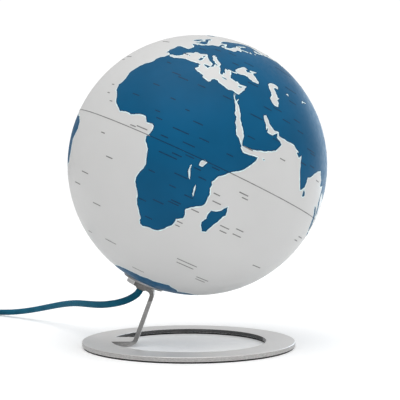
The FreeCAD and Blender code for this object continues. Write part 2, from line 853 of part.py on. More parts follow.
def coil_ring():
    """The wound turns as one ring on the table, about the origin."""
    half = f"{COIL_ACROSS} / 2"
    outer = cylinder(f"coil_radius + {half}", COIL_THICKNESS)
    return cut(outer, cylinder(f"coil_radius - {half}", COIL_THICKNESS))


def build_lead():
    coil = label(laid(coil_ring(), COIL_CENTRE, 0), "lead_coil")
    hoop_across = f"{COIL_ACROSS} + 2 * tie_sheet"
    hoop = block(hoop_across, "tie_width", f"{COIL_THICKNESS} + tie_sheet", "coil_radius", "0", "0")
    filling = block(COIL_ACROSS, "tie_width", COIL_THICKNESS, "coil_radius", "0", "0")
    label(laid(cut(hoop, filling, coil_ring()), COIL_CENTRE, TIE_ANGLE), "coil_tie")
    doc.recompute()
    lead("lead_run", RUN_POINTS, coil)
    lead("lead_to_switch", SWITCH_POINTS, coil)
    lead("lead_to_plug", PLUG_POINTS)


# ---------------------------------------------------------------- the in-line switch

PIN_HEIGHT = "(switch_height - rocker_drop)"


def switch_half(name, low, high, hollow_low, hollow_high):
    """Half of the switch's casing: a long rounded block, hollow, with the lead's groove through its ends."""
    body = new_body(name)
    plan = sketch_on(body, "XY_Plane", low)
    half_x = "switch_length / 2"
    half_y = "switch_width / 2"
    corner = "switch_corner"
    ends = []
    for sx, sy in ((1, -1), (1, 1), (-1, 1), (-1, -1)):
        on_side = (f"{sx} * ({half_x} - {corner})", f"{sy} * {half_y}")
        on_end = (f"{sx} * {half_x}", f"{sy} * ({half_y} - {corner} / 2)")
        ends += [on_side, on_end] if sx * sy < 0 else [on_end, on_side]
    outline(plan, ends)
    block_feature = pad(body, plan, f"{high} - {low}")
    outer_z = value(low) if value(low) < value(hollow_low) else value(high)

    def outer_edge(edge):
        return all(abs(vertex.Z - outer_z) < SAME for vertex in edge.Vertexes)

    rounded(body, block_feature, "switch_round", outer_edge)
    hollow_length = "switch_length - 2 * switch_corner"
    hollow_width = "switch_width - 2 * switch_wall"
    hollow = block(hollow_length, hollow_width, f"{hollow_high} - {hollow_low}", "0", "0", hollow_low)
    start = f"-switch_length / 2 - {PAST}"
    through = f"switch_length + 2 * {PAST}"
    groove = cylinder_along((1, 0, 0), "lead_radius", through, start, "0", "switch_split")
    return body, hollow, groove


def at_posts(radius, low, high):
    """An upright cylinder at each of the two screw posts, which stand at opposite corners."""
    height = f"{high} - {low}"
    return [cylinder(radius, height, f"{side} * post_x", f"{side} * post_y", low) for side in (-1, 1)]


def build_switch():
    base, hollow, groove = switch_half("SwitchBase", "0", "switch_split", "switch_wall", "switch_split")
    shanks = at_posts("switch_screw_radius", "0", "switch_split")
    sinks = at_posts("switch_screw_head", "0", "(screw_sink + screw_head_height)")
    base_posts = at_posts("post_radius", "(switch_wall / 2)", "switch_split")
    base_shape = cut(fuse(cut(base, hollow, groove), *base_posts), *shanks, *sinks)
    label(laid(base_shape, SWITCH_CENTRE, SWITCH_YAW), "switch_base")

    roof = "(switch_height - switch_wall)"
    cover, hollow, groove = switch_half("SwitchCover", "switch_split", "switch_height", "switch_split", roof)
    window_height = f"switch_wall + 2 * {PAST}"
    window = block("window_length", "window_width", window_height, "0", "0", f"{roof} - {PAST}")
    ribs = []
    for side in (-1, 1):
        y = f"{side} * (window_width / 2 + rib_sheet / 2)"
        under = f"{PIN_HEIGHT} - rib_width / 2"
        ribs.append(block("rib_width", "rib_sheet", f"{roof} + switch_wall / 2 - ({under})", "0", y, under))
    pin_hole = cylinder_along((0, 1, 0), "pin_radius", LONG, "0", f"-{LONG} / 2", PIN_HEIGHT)
    taps = at_posts("switch_screw_radius", "switch_split", "(switch_split + screw_reach)")
    cover_posts = at_posts("post_radius", "switch_split", f"({roof} + switch_wall / 2)")
    cover_shape = cut(fuse(cut(cover, hollow, groove, window), *ribs, *cover_posts), pin_hole, *taps)
    label(laid(cover_shape, SWITCH_CENTRE, SWITCH_YAW), "switch_cover")

    pin_length = "window_width + 2 * rib_sheet"
    pin = cylinder_along((0, 1, 0), "pin_radius", pin_length, "0", f"-({pin_length}) / 2", PIN_HEIGHT)
    label(laid(group(pin), SWITCH_CENTRE, SWITCH_YAW), "switch_pin")

    rocker = new_body("Rocker")
    side = sketch_on(rocker, "XZ_Plane")
    half = "(window_length / 2 - rocker_gap - rocker_play)"
    outline(side, [
        (f"-{half}", "-rocker_under"),
        ("-rocker_nub_width", "-rocker_under"),
        ("-rocker_nub_width / 2", "-rocker_nub"),
        ("rocker_nub_width / 2", "-rocker_nub"),
        ("rocker_nub_width", "-rocker_under"),
        (half, "-rocker_under"),
        (half, "rocker_end"),
        ("0", "rocker_middle"),
        (f"-{half}", "rocker_end"),
    ])
    pad(rocker, side, "window_width - 2 * rocker_gap", midplane=True)
    bore = cylinder_along((0, 1, 0), "pin_radius + running_fit", LONG, "0", f"-{LONG} / 2", "0")
    tipped = cut(rocker, bore)
    half_swing = Rotation(Vector(0, 1, 0), -value("rocker_swing") / 2)
    tipped.Placement = Placement(Vector(0, 0, value(PIN_HEIGHT)), half_swing)
    label(laid(group(tipped), SWITCH_CENTRE, SWITCH_YAW), "switch_rocker")

    head_top = "(screw_sink + screw_head_height)"
    heads = at_posts("switch_screw_head", "screw_sink", head_top)
    threads = at_posts("switch_screw_radius", head_top, "(switch_split + screw_reach)")
    screws = []
    for side, head, thread in zip((-1, 1), heads, threads):
        slot_length = "1.5 * switch_screw_head"
        x = f"{side} * post_x"
        y = f"{side} * post_y"
        slot = block(slot_length, "screw_slot", "screw_head_height / 2", x, y, "screw_sink")
        screws.append(cut(fuse(head, thread), slot))
    label(laid(group(*screws), SWITCH_CENTRE, SWITCH_YAW), "switch_screws")

    leaves = []
    for side in (-1, 1):
        leaf = new_body("Leaf")
        profile = sketch_on(leaf, "XZ_Plane")
        tip = f"({PIN_HEIGHT} - rocker_nub - leaf_gap)"
        near = f"{side} * leaf_apart / 2"
        far = f"{side} * leaf_length"
        knee = f"{side} * (leaf_length - leaf_sheet)"
        outline(profile, [
            (near, tip),
            (far, tip),
            (far, "switch_wall"),
            (knee, "switch_wall"),
            (knee, f"{tip} - leaf_sheet"),
            (near, f"{tip} - leaf_sheet"),
        ])
        pad(leaf, profile, "leaf_width", midplane=True)
        leaves.append(leaf)
    label(laid(group(*leaves), SWITCH_CENTRE, SWITCH_YAW), "switch_contacts")

    grips = []
    lead_top = "(switch_split + lead_radius)"
    for side in (-1, 1):
        x = f"{side} * (switch_length / 2 - switch_corner - grip_inset)"
        height = f"({roof} - {lead_top}) * grip_share"
        grips.append(block("grip_length", "grip_width", height, x, "0", lead_top))
    label(laid(group(*grips), SWITCH_CENTRE, SWITCH_YAW), "lead_grips")


# ---------------------------------------------------------------- the plug


def build_plug():
    """Modelled along +X from the boot's tip, with the prongs ahead."""
    middle = "(plug_thickness / 2)"
    body = new_body("PlugBody")
    plan = sketch_on(body, "XY_Plane")
    right = [
        ("boot_length", "-plug_back_width / 2"),
        ("boot_length + plug_flare", "-plug_width / 2"),
        ("boot_length + plug_length - plug_shoulder", "-plug_width / 2 + plug_shoulder / 5"),
        ("boot_length + plug_length", "-plug_front_width / 2"),
    ]
    left = [(x, f"-({y})") for x, y in reversed(right)]
    outline(plan, right + left)
    block_feature = pad(body, plan, "plug_thickness")

    def long_edge(edge):
        flat = abs(edge.Vertexes[0].Z - edge.Vertexes[-1].Z) < SAME
        return flat and edge.CenterOfMass.x > value("boot_length") + SAME

    rounded(body, block_feature, "plug_round", long_edge)
    boot = doc.addObject("Part::Cone", "Boot")
    bind(boot, Radius1="boot_tip_radius", Radius2="boot_base_radius", Height="boot_length + boot_root")
    boot.Placement = Placement(Vector(), Rotation(Vector(0, 0, 1), Vector(1, 0, 0)))
    at(boot, z=middle)
    lead_depth = math.dist(BOOT_TIP, PLUG_POINTS[-1][:2])
    lead_hole = cylinder_along((1, 0, 0), "lead_radius", str(lead_depth), "0", "0", middle)
    front = "boot_length + plug_length"
    holes = []
    prongs = []
    sleeves = []
    for side in (-1, 1):
        y = f"{side} * prong_spread"
        start = f"{front} - prong_depth"
        held = "prong_depth + sleeve_length"
        holes.append(cylinder_along((1, 0, 0), "prong_radius", "prong_depth", start, y, middle))
        core = cylinder_along((1, 0, 0), "prong_core", held, start, y, middle)
        tip_start = f"{front} + sleeve_length"
        tip = cylinder_along((1, 0, 0), "prong_radius", "prong_length - sleeve_length", tip_start, y, middle)
        prongs.append(fuse(core, tip))
        sleeve = cylinder_along((1, 0, 0), "prong_radius", held, start, y, middle)
        sleeve_bore = cylinder_along((1, 0, 0), "prong_core", held, start, y, middle)
        sleeves.append(cut(sleeve, sleeve_bore))
    label(laid(cut(fuse(body, boot), lead_hole, *holes), BOOT_TIP, PLUG_YAW), "plug_body")
    label(laid(group(*prongs), BOOT_TIP, PLUG_YAW), "plug_prongs")
    label(laid(group(*sleeves), BOOT_TIP, PLUG_YAW), "prong_sleeves")


# ---------------------------------------------------------------- build, check and write

build_ball()
build_stand()
build_bearing()
build_holder()
build_bulb()
build_lead()
build_switch()
build_plug()
doc.recompute()

failed = [obj.Name for obj in doc.Objects if "Invalid" in obj.State or "Error" in obj.State]
if failed:
    raise RuntimeError(f"objects that did not build: {failed}")
for node in nodes:
    if node.Shape.isNull() or not node.Shape.isValid() or not node.Shape.Solids:
        raise RuntimeError(f"{node.Label} has no valid shape")

os.makedirs("parts", exist_ok=True)
for node in nodes:
    node.Shape.exportStep(os.path.join("parts", f"{node.Label}.step"))
print(len(nodes), "sub-parts written")
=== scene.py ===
import bmesh
import bpy
import math
import random
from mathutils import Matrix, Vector
from mathutils.geometry import delaunay_2d_cdt


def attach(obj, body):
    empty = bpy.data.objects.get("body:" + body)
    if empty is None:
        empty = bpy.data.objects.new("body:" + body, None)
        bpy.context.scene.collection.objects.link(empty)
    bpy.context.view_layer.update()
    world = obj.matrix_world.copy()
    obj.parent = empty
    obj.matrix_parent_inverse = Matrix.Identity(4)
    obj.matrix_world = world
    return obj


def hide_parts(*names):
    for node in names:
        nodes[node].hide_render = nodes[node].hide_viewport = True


# A desktop globe on a bent metal stand, dressed for its pictures. Metres, +Z up, origin on the table
# straight under the ball's centre. The CAD frame gives the places, this script gives the looks.

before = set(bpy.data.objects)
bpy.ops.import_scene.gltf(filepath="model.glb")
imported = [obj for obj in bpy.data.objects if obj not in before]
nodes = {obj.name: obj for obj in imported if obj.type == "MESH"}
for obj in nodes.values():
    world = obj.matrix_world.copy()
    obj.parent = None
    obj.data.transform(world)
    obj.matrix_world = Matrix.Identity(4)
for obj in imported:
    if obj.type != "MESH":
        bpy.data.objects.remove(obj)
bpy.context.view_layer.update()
scene = bpy.context.scene
MM = 0.001
random.seed(7)

# ---------------------------------------------------------------- camera, floor and light

CAMERA_BACK = 0.800
CAMERA_HEIGHT = 0.126
LENS = 73.9
SENSOR = 36
SHIFT = (0.0065, 0.039)
FLOOR_SIDE = 60.0
BACKDROP_LEVEL = 1.05
SKY_LEAN = (0.55, 0.12, 0.83)  # where the soft light is strongest
SKY_LEVELS = (0.07, 0.86)  # its strength away from there and towards there
FLOOR_GLOW = 0.13  # seen by the camera, not cast on the object
MIDDLE = (0, 0, 0.15)
SUN_FROM = (-0.12, -0.38, 1)
SUN_SPREAD = 60  # degrees
SUN_STRENGTH = 1.42
LAMP_PLACE = (0.95, 1.3, 0.42)  # behind, on the right
LAMP_SIZE = 0.9
LAMP_POWER = 5
LAMP_TINT = (0.72, 0.88, 1)


def make_camera():
    data = bpy.data.cameras.new("camera")
    data.lens = LENS
    data.sensor_width = SENSOR
    data.shift_x, data.shift_y = SHIFT
    camera = bpy.data.objects.new("camera", data)
    camera.location = (0, -CAMERA_BACK, CAMERA_HEIGHT)
    camera.rotation_euler = (math.radians(90), 0, 0)
    scene.collection.objects.link(camera)
    scene.camera = camera


def make_lamp():
    """A soft square lamp, turned towards the object."""
    data = bpy.data.lights.new("right", "AREA")
    data.size = LAMP_SIZE
    data.energy = LAMP_POWER
    data.color = LAMP_TINT
    lamp = bpy.data.objects.new("right", data)
    lamp.location = LAMP_PLACE
    lamp.rotation_euler = (Vector(MIDDLE) - Vector(LAMP_PLACE)).to_track_quat("-Z", "Y").to_euler()
    scene.collection.objects.link(lamp)


def make_floor():
    mesh = bpy.data.meshes.new("floor")
    corners = [(x * FLOOR_SIDE, y * FLOOR_SIDE, 0) for x, y in ((-1, -1), (1, -1), (1, 1), (-1, 1))]
    mesh.from_pydata(corners, [], [(0, 1, 2, 3)])
    floor = bpy.data.objects.new("floor", mesh)
    scene.collection.objects.link(floor)
    look = bpy.data.materials.new("floor")
    look.use_nodes = True
    shader = look.node_tree.nodes["Principled BSDF"]
    shader.inputs["Base Color"].default_value = (0.93, 0.93, 0.93, 1)
    shader.inputs["Roughness"].default_value = 0.9
    shader.inputs["Specular IOR Level"].default_value = 0.1
    shader.inputs["Emission Color"].default_value = (1, 1, 1, 1)
    tree = look.node_tree
    seen = tree.nodes.new("ShaderNodeLightPath")
    glow = tree.nodes.new("ShaderNodeMath")
    glow.operation = "MULTIPLY"
    glow.inputs[1].default_value = FLOOR_GLOW
    tree.links.new(seen.outputs["Is Camera Ray"], glow.inputs[0])
    tree.links.new(glow.outputs["Value"], shader.inputs["Emission Strength"])
    mesh.materials.append(look)


def make_sun():
    """A very wide, even lamp far away."""
    data = bpy.data.lights.new("sun", "SUN")
    data.angle = math.radians(SUN_SPREAD)
    data.energy = SUN_STRENGTH
    lamp = bpy.data.objects.new("sun", data)
    lamp.rotation_euler = (-Vector(SUN_FROM)).to_track_quat("-Z", "Y").to_euler()
    scene.collection.objects.link(lamp)


def make_world():
    """Soft light from all round, stronger from above and from the right; a white backdrop is seen."""
    world = bpy.data.worlds.new("studio")
    world.use_nodes = True
    tree = world.node_tree
    sky = tree.nodes["Background"]
    sky.inputs["Color"].default_value = (1, 1, 1, 1)
    heading = tree.nodes.new("ShaderNodeTexCoord")
    lean = tree.nodes.new("ShaderNodeVectorMath")
    lean.operation = "DOT_PRODUCT"
    lean.inputs[1].default_value = SKY_LEAN
    tree.links.new(heading.outputs["Generated"], lean.inputs[0])
    level = tree.nodes.new("ShaderNodeMapRange")
    for socket, number in zip(list(level.inputs)[1:5], (-1, 1, *SKY_LEVELS)):
        socket.default_value = number
    tree.links.new(lean.outputs["Value"], level.inputs["Value"])
    tree.links.new(level.outputs["Result"], sky.inputs["Strength"])
    backdrop = tree.nodes.new("ShaderNodeBackground")
    backdrop.inputs["Color"].default_value = (1, 1, 1, 1)
    backdrop.inputs["Strength"].default_value = BACKDROP_LEVEL
    seen = tree.nodes.new("ShaderNodeLightPath")
    mix = tree.nodes.new("ShaderNodeMixShader")
    tree.links.new(seen.outputs["Is Camera Ray"], mix.inputs["Fac"])
    tree.links.new(sky.outputs["Background"], mix.inputs[1])
    tree.links.new(backdrop.outputs["Background"], mix.inputs[2])
    tree.links.new(mix.outputs["Shader"], tree.nodes["World Output"].inputs["Surface"])
    scene.world = world


def make_studio():
    make_camera()
    make_floor()
    make_world()
    make_sun()
    make_lamp()
    scene.view_settings.view_transform = "Standard"


# ---------------------------------------------------------------- mesh and material helpers


def piece_from(name, points, faces, body, slot, *looks, smooth=True):
    """A new piece riding on a body."""
    mesh = bpy.data.meshes.new(name)
    mesh.from_pydata([tuple(p) for p in points], [], faces)
    mesh.validate()
    mesh.update()
    mesh.polygons.foreach_set("use_smooth", [smooth] * len(mesh.polygons))
    for look in looks:
        mesh.materials.append(look)
    piece = bpy.data.objects.new(name, mesh)
    scene.collection.objects.link(piece)
    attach(piece, body)
    return piece


class Look:
    """A material being put together, one node at a time."""

    def __init__(self, name, colour, roughness, **settings):
        self.material = bpy.data.materials.new(name)
        self.material.use_nodes = True
        self.tree = self.material.node_tree
        self.shader = self.tree.nodes["Principled BSDF"]
        self.shader.inputs["Base Color"].default_value = (*colour, 1)
        self.shader.inputs["Roughness"].default_value = roughness
        for key, number in settings.items():
            self.shader.inputs[key.replace("_", " ")].default_value = number
        self.place = self.tree.nodes.new("ShaderNodeTexCoord").outputs["Object"]
        self.colour = colour

    def node(self, kind, **settings):
        made = self.tree.nodes.new(kind)
        for key, setting in settings.items():
            setattr(made, key, setting)
        return made

    def link(self, source, target):
        self.tree.links.new(source, target)

    def stretched(self, scale):
        """Object coordinates scaled by three numbers."""
        mapping = self.node("ShaderNodeMapping")
        mapping.inputs["Scale"].default_value = scale
        self.link(self.place, mapping.inputs["Vector"])
        return mapping.outputs["Vector"]

    def noise(self, scale, detail=3.0, place=None):
        made = self.node("ShaderNodeTexNoise")
        made.inputs["Scale"].default_value = scale
        made.inputs["Detail"].default_value = detail
        self.link(place or self.place, made.inputs["Vector"])
        return made.outputs["Fac"]

    def maths(self, operation, first, second=0.0):
        made = self.node("ShaderNodeMath", operation=operation)
        for socket, source in zip(made.inputs, (first, second)):
            if isinstance(source, (int, float)):
                socket.default_value = source
            else:
                self.link(source, socket)
        return made.outputs["Value"]

    def spread(self, source, low, high, to_low, to_high):
        """Map a value from one range to another."""
        made = self.node("ShaderNodeMapRange")
        for socket, number in zip(list(made.inputs)[1:5], (low, high, to_low, to_high)):
            socket.default_value = number
        self.link(source, made.inputs["Value"])
        return made.outputs["Result"]

    def blend(self, share, first, second):
        """One colour shading into another; each is a triple or another node's output."""
        made = self.node("ShaderNodeMix", data_type="RGBA")
        self.link(share, made.inputs["Factor"])
        for socket, source in zip((made.inputs[6], made.inputs[7]), (first, second)):
            if isinstance(source, tuple):
                socket.default_value = (*source, 1)
            else:
                self.link(source, socket)
        return made.outputs[2]

    def mottle(self, scale, by, place=None):
        """Vary the base colour a little, lighter and darker."""
        low = tuple(c * (1 - by) for c in self.colour)
        high = tuple(min(1, c * (1 + by)) for c in self.colour)
        share = self.spread(self.noise(scale, place=place), 0.3, 0.7, 0, 1)
        return self.paint(self.blend(share, low, high))

    def paint(self, colour):
        self.link(colour, self.shader.inputs["Base Color"])
        return self

    def rough(self, source, low, high):
        self.link(self.spread(source, 0.3, 0.7, low, high), self.shader.inputs["Roughness"])
        return self

    def bump(self, height, strength, distance):
        made = self.node("ShaderNodeBump")
        made.inputs["Strength"].default_value = strength
        made.inputs["Distance"].default_value = distance
        earlier = self.shader.inputs["Normal"].links
        if earlier:
            self.link(earlier[0].from_socket, made.inputs["Normal"])
        self.link(height, made.inputs["Height"])
        self.link(made.outputs["Normal"], self.shader.inputs["Normal"])
        return self


# ---------------------------------------------------------------- the lead

LEAD_DIAMETER = 2 * 3.4 * MM
LEAD_SIDES = 20
YARNS = 12  # round the lead, in each direction
YARN_PITCH = 1.7 * MM

# The route's points, in metres: from the bush to the coil, from the coil to the switch, and from the
# switch to the plug.
RUN_POINTS = [
    (-0.0558, 0.0, 0.0542),
    (-0.0574, 0.0, 0.0508),
    (-0.0618, 0.0002, 0.0472),
    (-0.0694, 0.0010, 0.0432),
    (-0.0800, 0.0050, 0.0400),
    (-0.0950, 0.0180, 0.0370),
    (-0.1115, 0.0440, 0.0350),
    (-0.1295, 0.0800, 0.0324),
    (-0.1495, 0.1180, 0.0272),
    (-0.1720, 0.1540, 0.0202),
    (-0.1970, 0.1860, 0.0128),
    (-0.2240, 0.2130, 0.0070),
    (-0.2490, 0.2360, 0.0040),
    (-0.2720, 0.2505, 0.0034),
    (-0.2990, 0.2528, 0.0034),
]
SWITCH_POINTS = [
    (-0.3408, 0.2110, 0.0102),
    (-0.3402, 0.1900, 0.0091),
    (-0.3373, 0.1695, 0.0057),
    (-0.3320, 0.1505, 0.0041),
    (-0.3260, 0.1340, 0.0050),
    (-0.3170, 0.1170, 0.0070),
    (-0.3080, 0.0990, 0.0070),
]
PLUG_POINTS = [
    (-0.2920, 0.0670, 0.0070),
    (-0.2830, 0.0490, 0.0070),
    (-0.2753, 0.0275, 0.0050),
    (-0.2720, 0.0070, 0.0037),
    (-0.2740, -0.0135, 0.0047),
    (-0.2816, -0.0340, 0.0070),
    (-0.2888, -0.0520, 0.0070),
]
COIL_CENTRE = Vector((-0.299, 0.211, 0))
COIL_MIDDLE = 35 * MM
COIL_RINGS = (COIL_MIDDLE + LEAD_DIAMETER, COIL_MIDDLE)  # the outer and the middle ring
COIL_LAYERS = (LEAD_DIAMETER / 2, LEAD_DIAMETER * 3 / 2)
COIL_TURNS = 5.25
COIL_STEPS = 16  # points per turn
CROSSING = 0.1875  # of a turn, over which the lead moves from one ring or layer to the next


def eased(share):
    """From 0 to 1 without a corner at either end."""
    share = min(1.0, max(0.0, share))
    return share * share * (3 - 2 * share)


def coil_points():
    """Three rings below, wound inwards, and three above, wound outwards."""
    outer, middle = COIL_RINGS
    low, high = COIL_LAYERS
    step_in = middle - outer
    points = []
    for k in range(1, round(COIL_TURNS * COIL_STEPS)):
        turns = k / COIL_STEPS
        angle = math.radians(90) + 2 * math.pi * turns
        radius = outer
        for done in (1, 2):
            radius += step_in * eased((turns - done + CROSSING) / CROSSING)
        for done in (4, 5):
            radius -= step_in * eased((turns - done + 3 * CROSSING) / CROSSING)
        height = low + (high - low) * eased((turns - 3 + 2 * CROSSING) / CROSSING)
        place = Vector((math.cos(angle) * radius, math.sin(angle) * radius, height))
        points.append(tuple(COIL_CENTRE + place))
    return points


def route_line(points):
    """The smooth line of a route: what its NURBS spline gives."""
    curve = bpy.data.curves.new("route", "CURVE")
    curve.dimensions = "3D"
    curve.resolution_u = 8
    spline = curve.splines.new("NURBS")
    spline.points.add(len(points) - 1)
    for point, place in zip(spline.points, points):
        point.co = (*place, 1)
    spline.order_u = 3
    spline.use_endpoint_u = True
    holder = bpy.data.objects.new("route", curve)
    mesh = bpy.data.meshes.new_from_object(holder)
    line = [vertex.co.copy() for vertex in mesh.vertices]
    bpy.data.objects.remove(holder)
    return line


def lead(name, line, look):
    """A round lead along a line, closed at both ends, with a weave map: round it, and along it in metres."""
    sides = LEAD_SIDES
    radius = LEAD_DIAMETER / 2
    rings = []
    lengths = []
    side = Vector((0, 1, 0))
    travelled = 0.0
    for k, place in enumerate(line):
        before = line[max(0, k - 1)]
        after = line[min(len(line) - 1, k + 1)]
        along = (after - before).normalized()
        side = (side - along * side.dot(along)).normalized()
        across = along.cross(side)
        if k:
            travelled += (place - line[k - 1]).length
        turns = [2 * math.pi * j / sides for j in range(sides)]
        rings.append([place + side * (math.cos(t) * radius) + across * (math.sin(t) * radius) for t in turns])
        lengths.append(travelled)
    points = [p for ring in rings for p in ring]
    faces = []
    weave = []
    for k in range(len(rings) - 1):
        for j in range(sides):
            nxt = (j + 1) % sides
            faces.append((k * sides + j, k * sides + nxt, (k + 1) * sides + nxt, (k + 1) * sides + j))
            ends = ((j, lengths[k]), (j + 1, lengths[k]), (j + 1, lengths[k + 1]), (j, lengths[k + 1]))
            weave.append([(around / sides, far) for around, far in ends])
    last = (len(rings) - 1) * sides
    faces.append(tuple(reversed(range(sides))))
    faces.append(tuple(last + j for j in range(sides)))
    weave += [[(0.5, 0.0)] * sides, [(0.5, lengths[-1])] * sides]
    piece = piece_from(name, points, faces, "stand", "lead_textile", look)
    layer = piece.data.uv_layers.new(name="weave")
    for polygon, places in zip(piece.data.polygons, weave):
        for loop, place in zip(polygon.loop_indices, places):
            layer.data[loop].uv = place
    return piece


def textile_look():
    """Blue braided sleeve: two sets of yarns crossing on the slant."""
    look = Look("lead_textile", (0.002, 0.06, 0.10), 0.8, Specular_IOR_Level=0.15, Sheen_Weight=0.06)
    look.shader.inputs["Sheen Tint"].default_value = (0.35, 0.6, 0.75, 1)
    weave = look.node("ShaderNodeUVMap", uv_map="weave")
    parts = look.node("ShaderNodeSeparateXYZ")
    look.link(weave.outputs["UV"], parts.inputs["Vector"])
    around = look.maths("MULTIPLY", parts.outputs["X"], YARNS * 2 * math.pi)
    along = look.maths("MULTIPLY", parts.outputs["Y"], 2 * math.pi / YARN_PITCH)
    right = look.maths("SINE", look.maths("ADD", along, around))
    left = look.maths("SINE", look.maths("SUBTRACT", along, around))
    yarns = look.maths("MAXIMUM", right, left)
    fuzz = look.noise(9000, 2)
    height = look.maths("ADD", yarns, look.maths("MULTIPLY", fuzz, 0.6))
    # Painted shade: the sleeve is darker in the grooves between the yarns.
    shade = look.spread(height, -0.6, 1.5, 0, 1)
    drift = look.spread(look.noise(60, 2), 0.3, 0.7, 0, 1)
    light = look.blend(drift, (0.004, 0.125, 0.215), (0.008, 0.165, 0.275))
    look.paint(look.blend(shade, (0.001, 0.045, 0.080), light))
    look.bump(height, 0.7, 0.25 * MM)
    return look.material


def make_leads():
    look = textile_look()
    first = route_line(RUN_POINTS + coil_points() + SWITCH_POINTS)
    wound = lead("lead_from_stand", first, look)
    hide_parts("lead_run", "lead_coil", "lead_to_switch")
    second = route_line(PLUG_POINTS)
    short = lead("lead_to_mains", second, look)
    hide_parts("lead_to_plug")


# ---------------------------------------------------------------- shores of the map

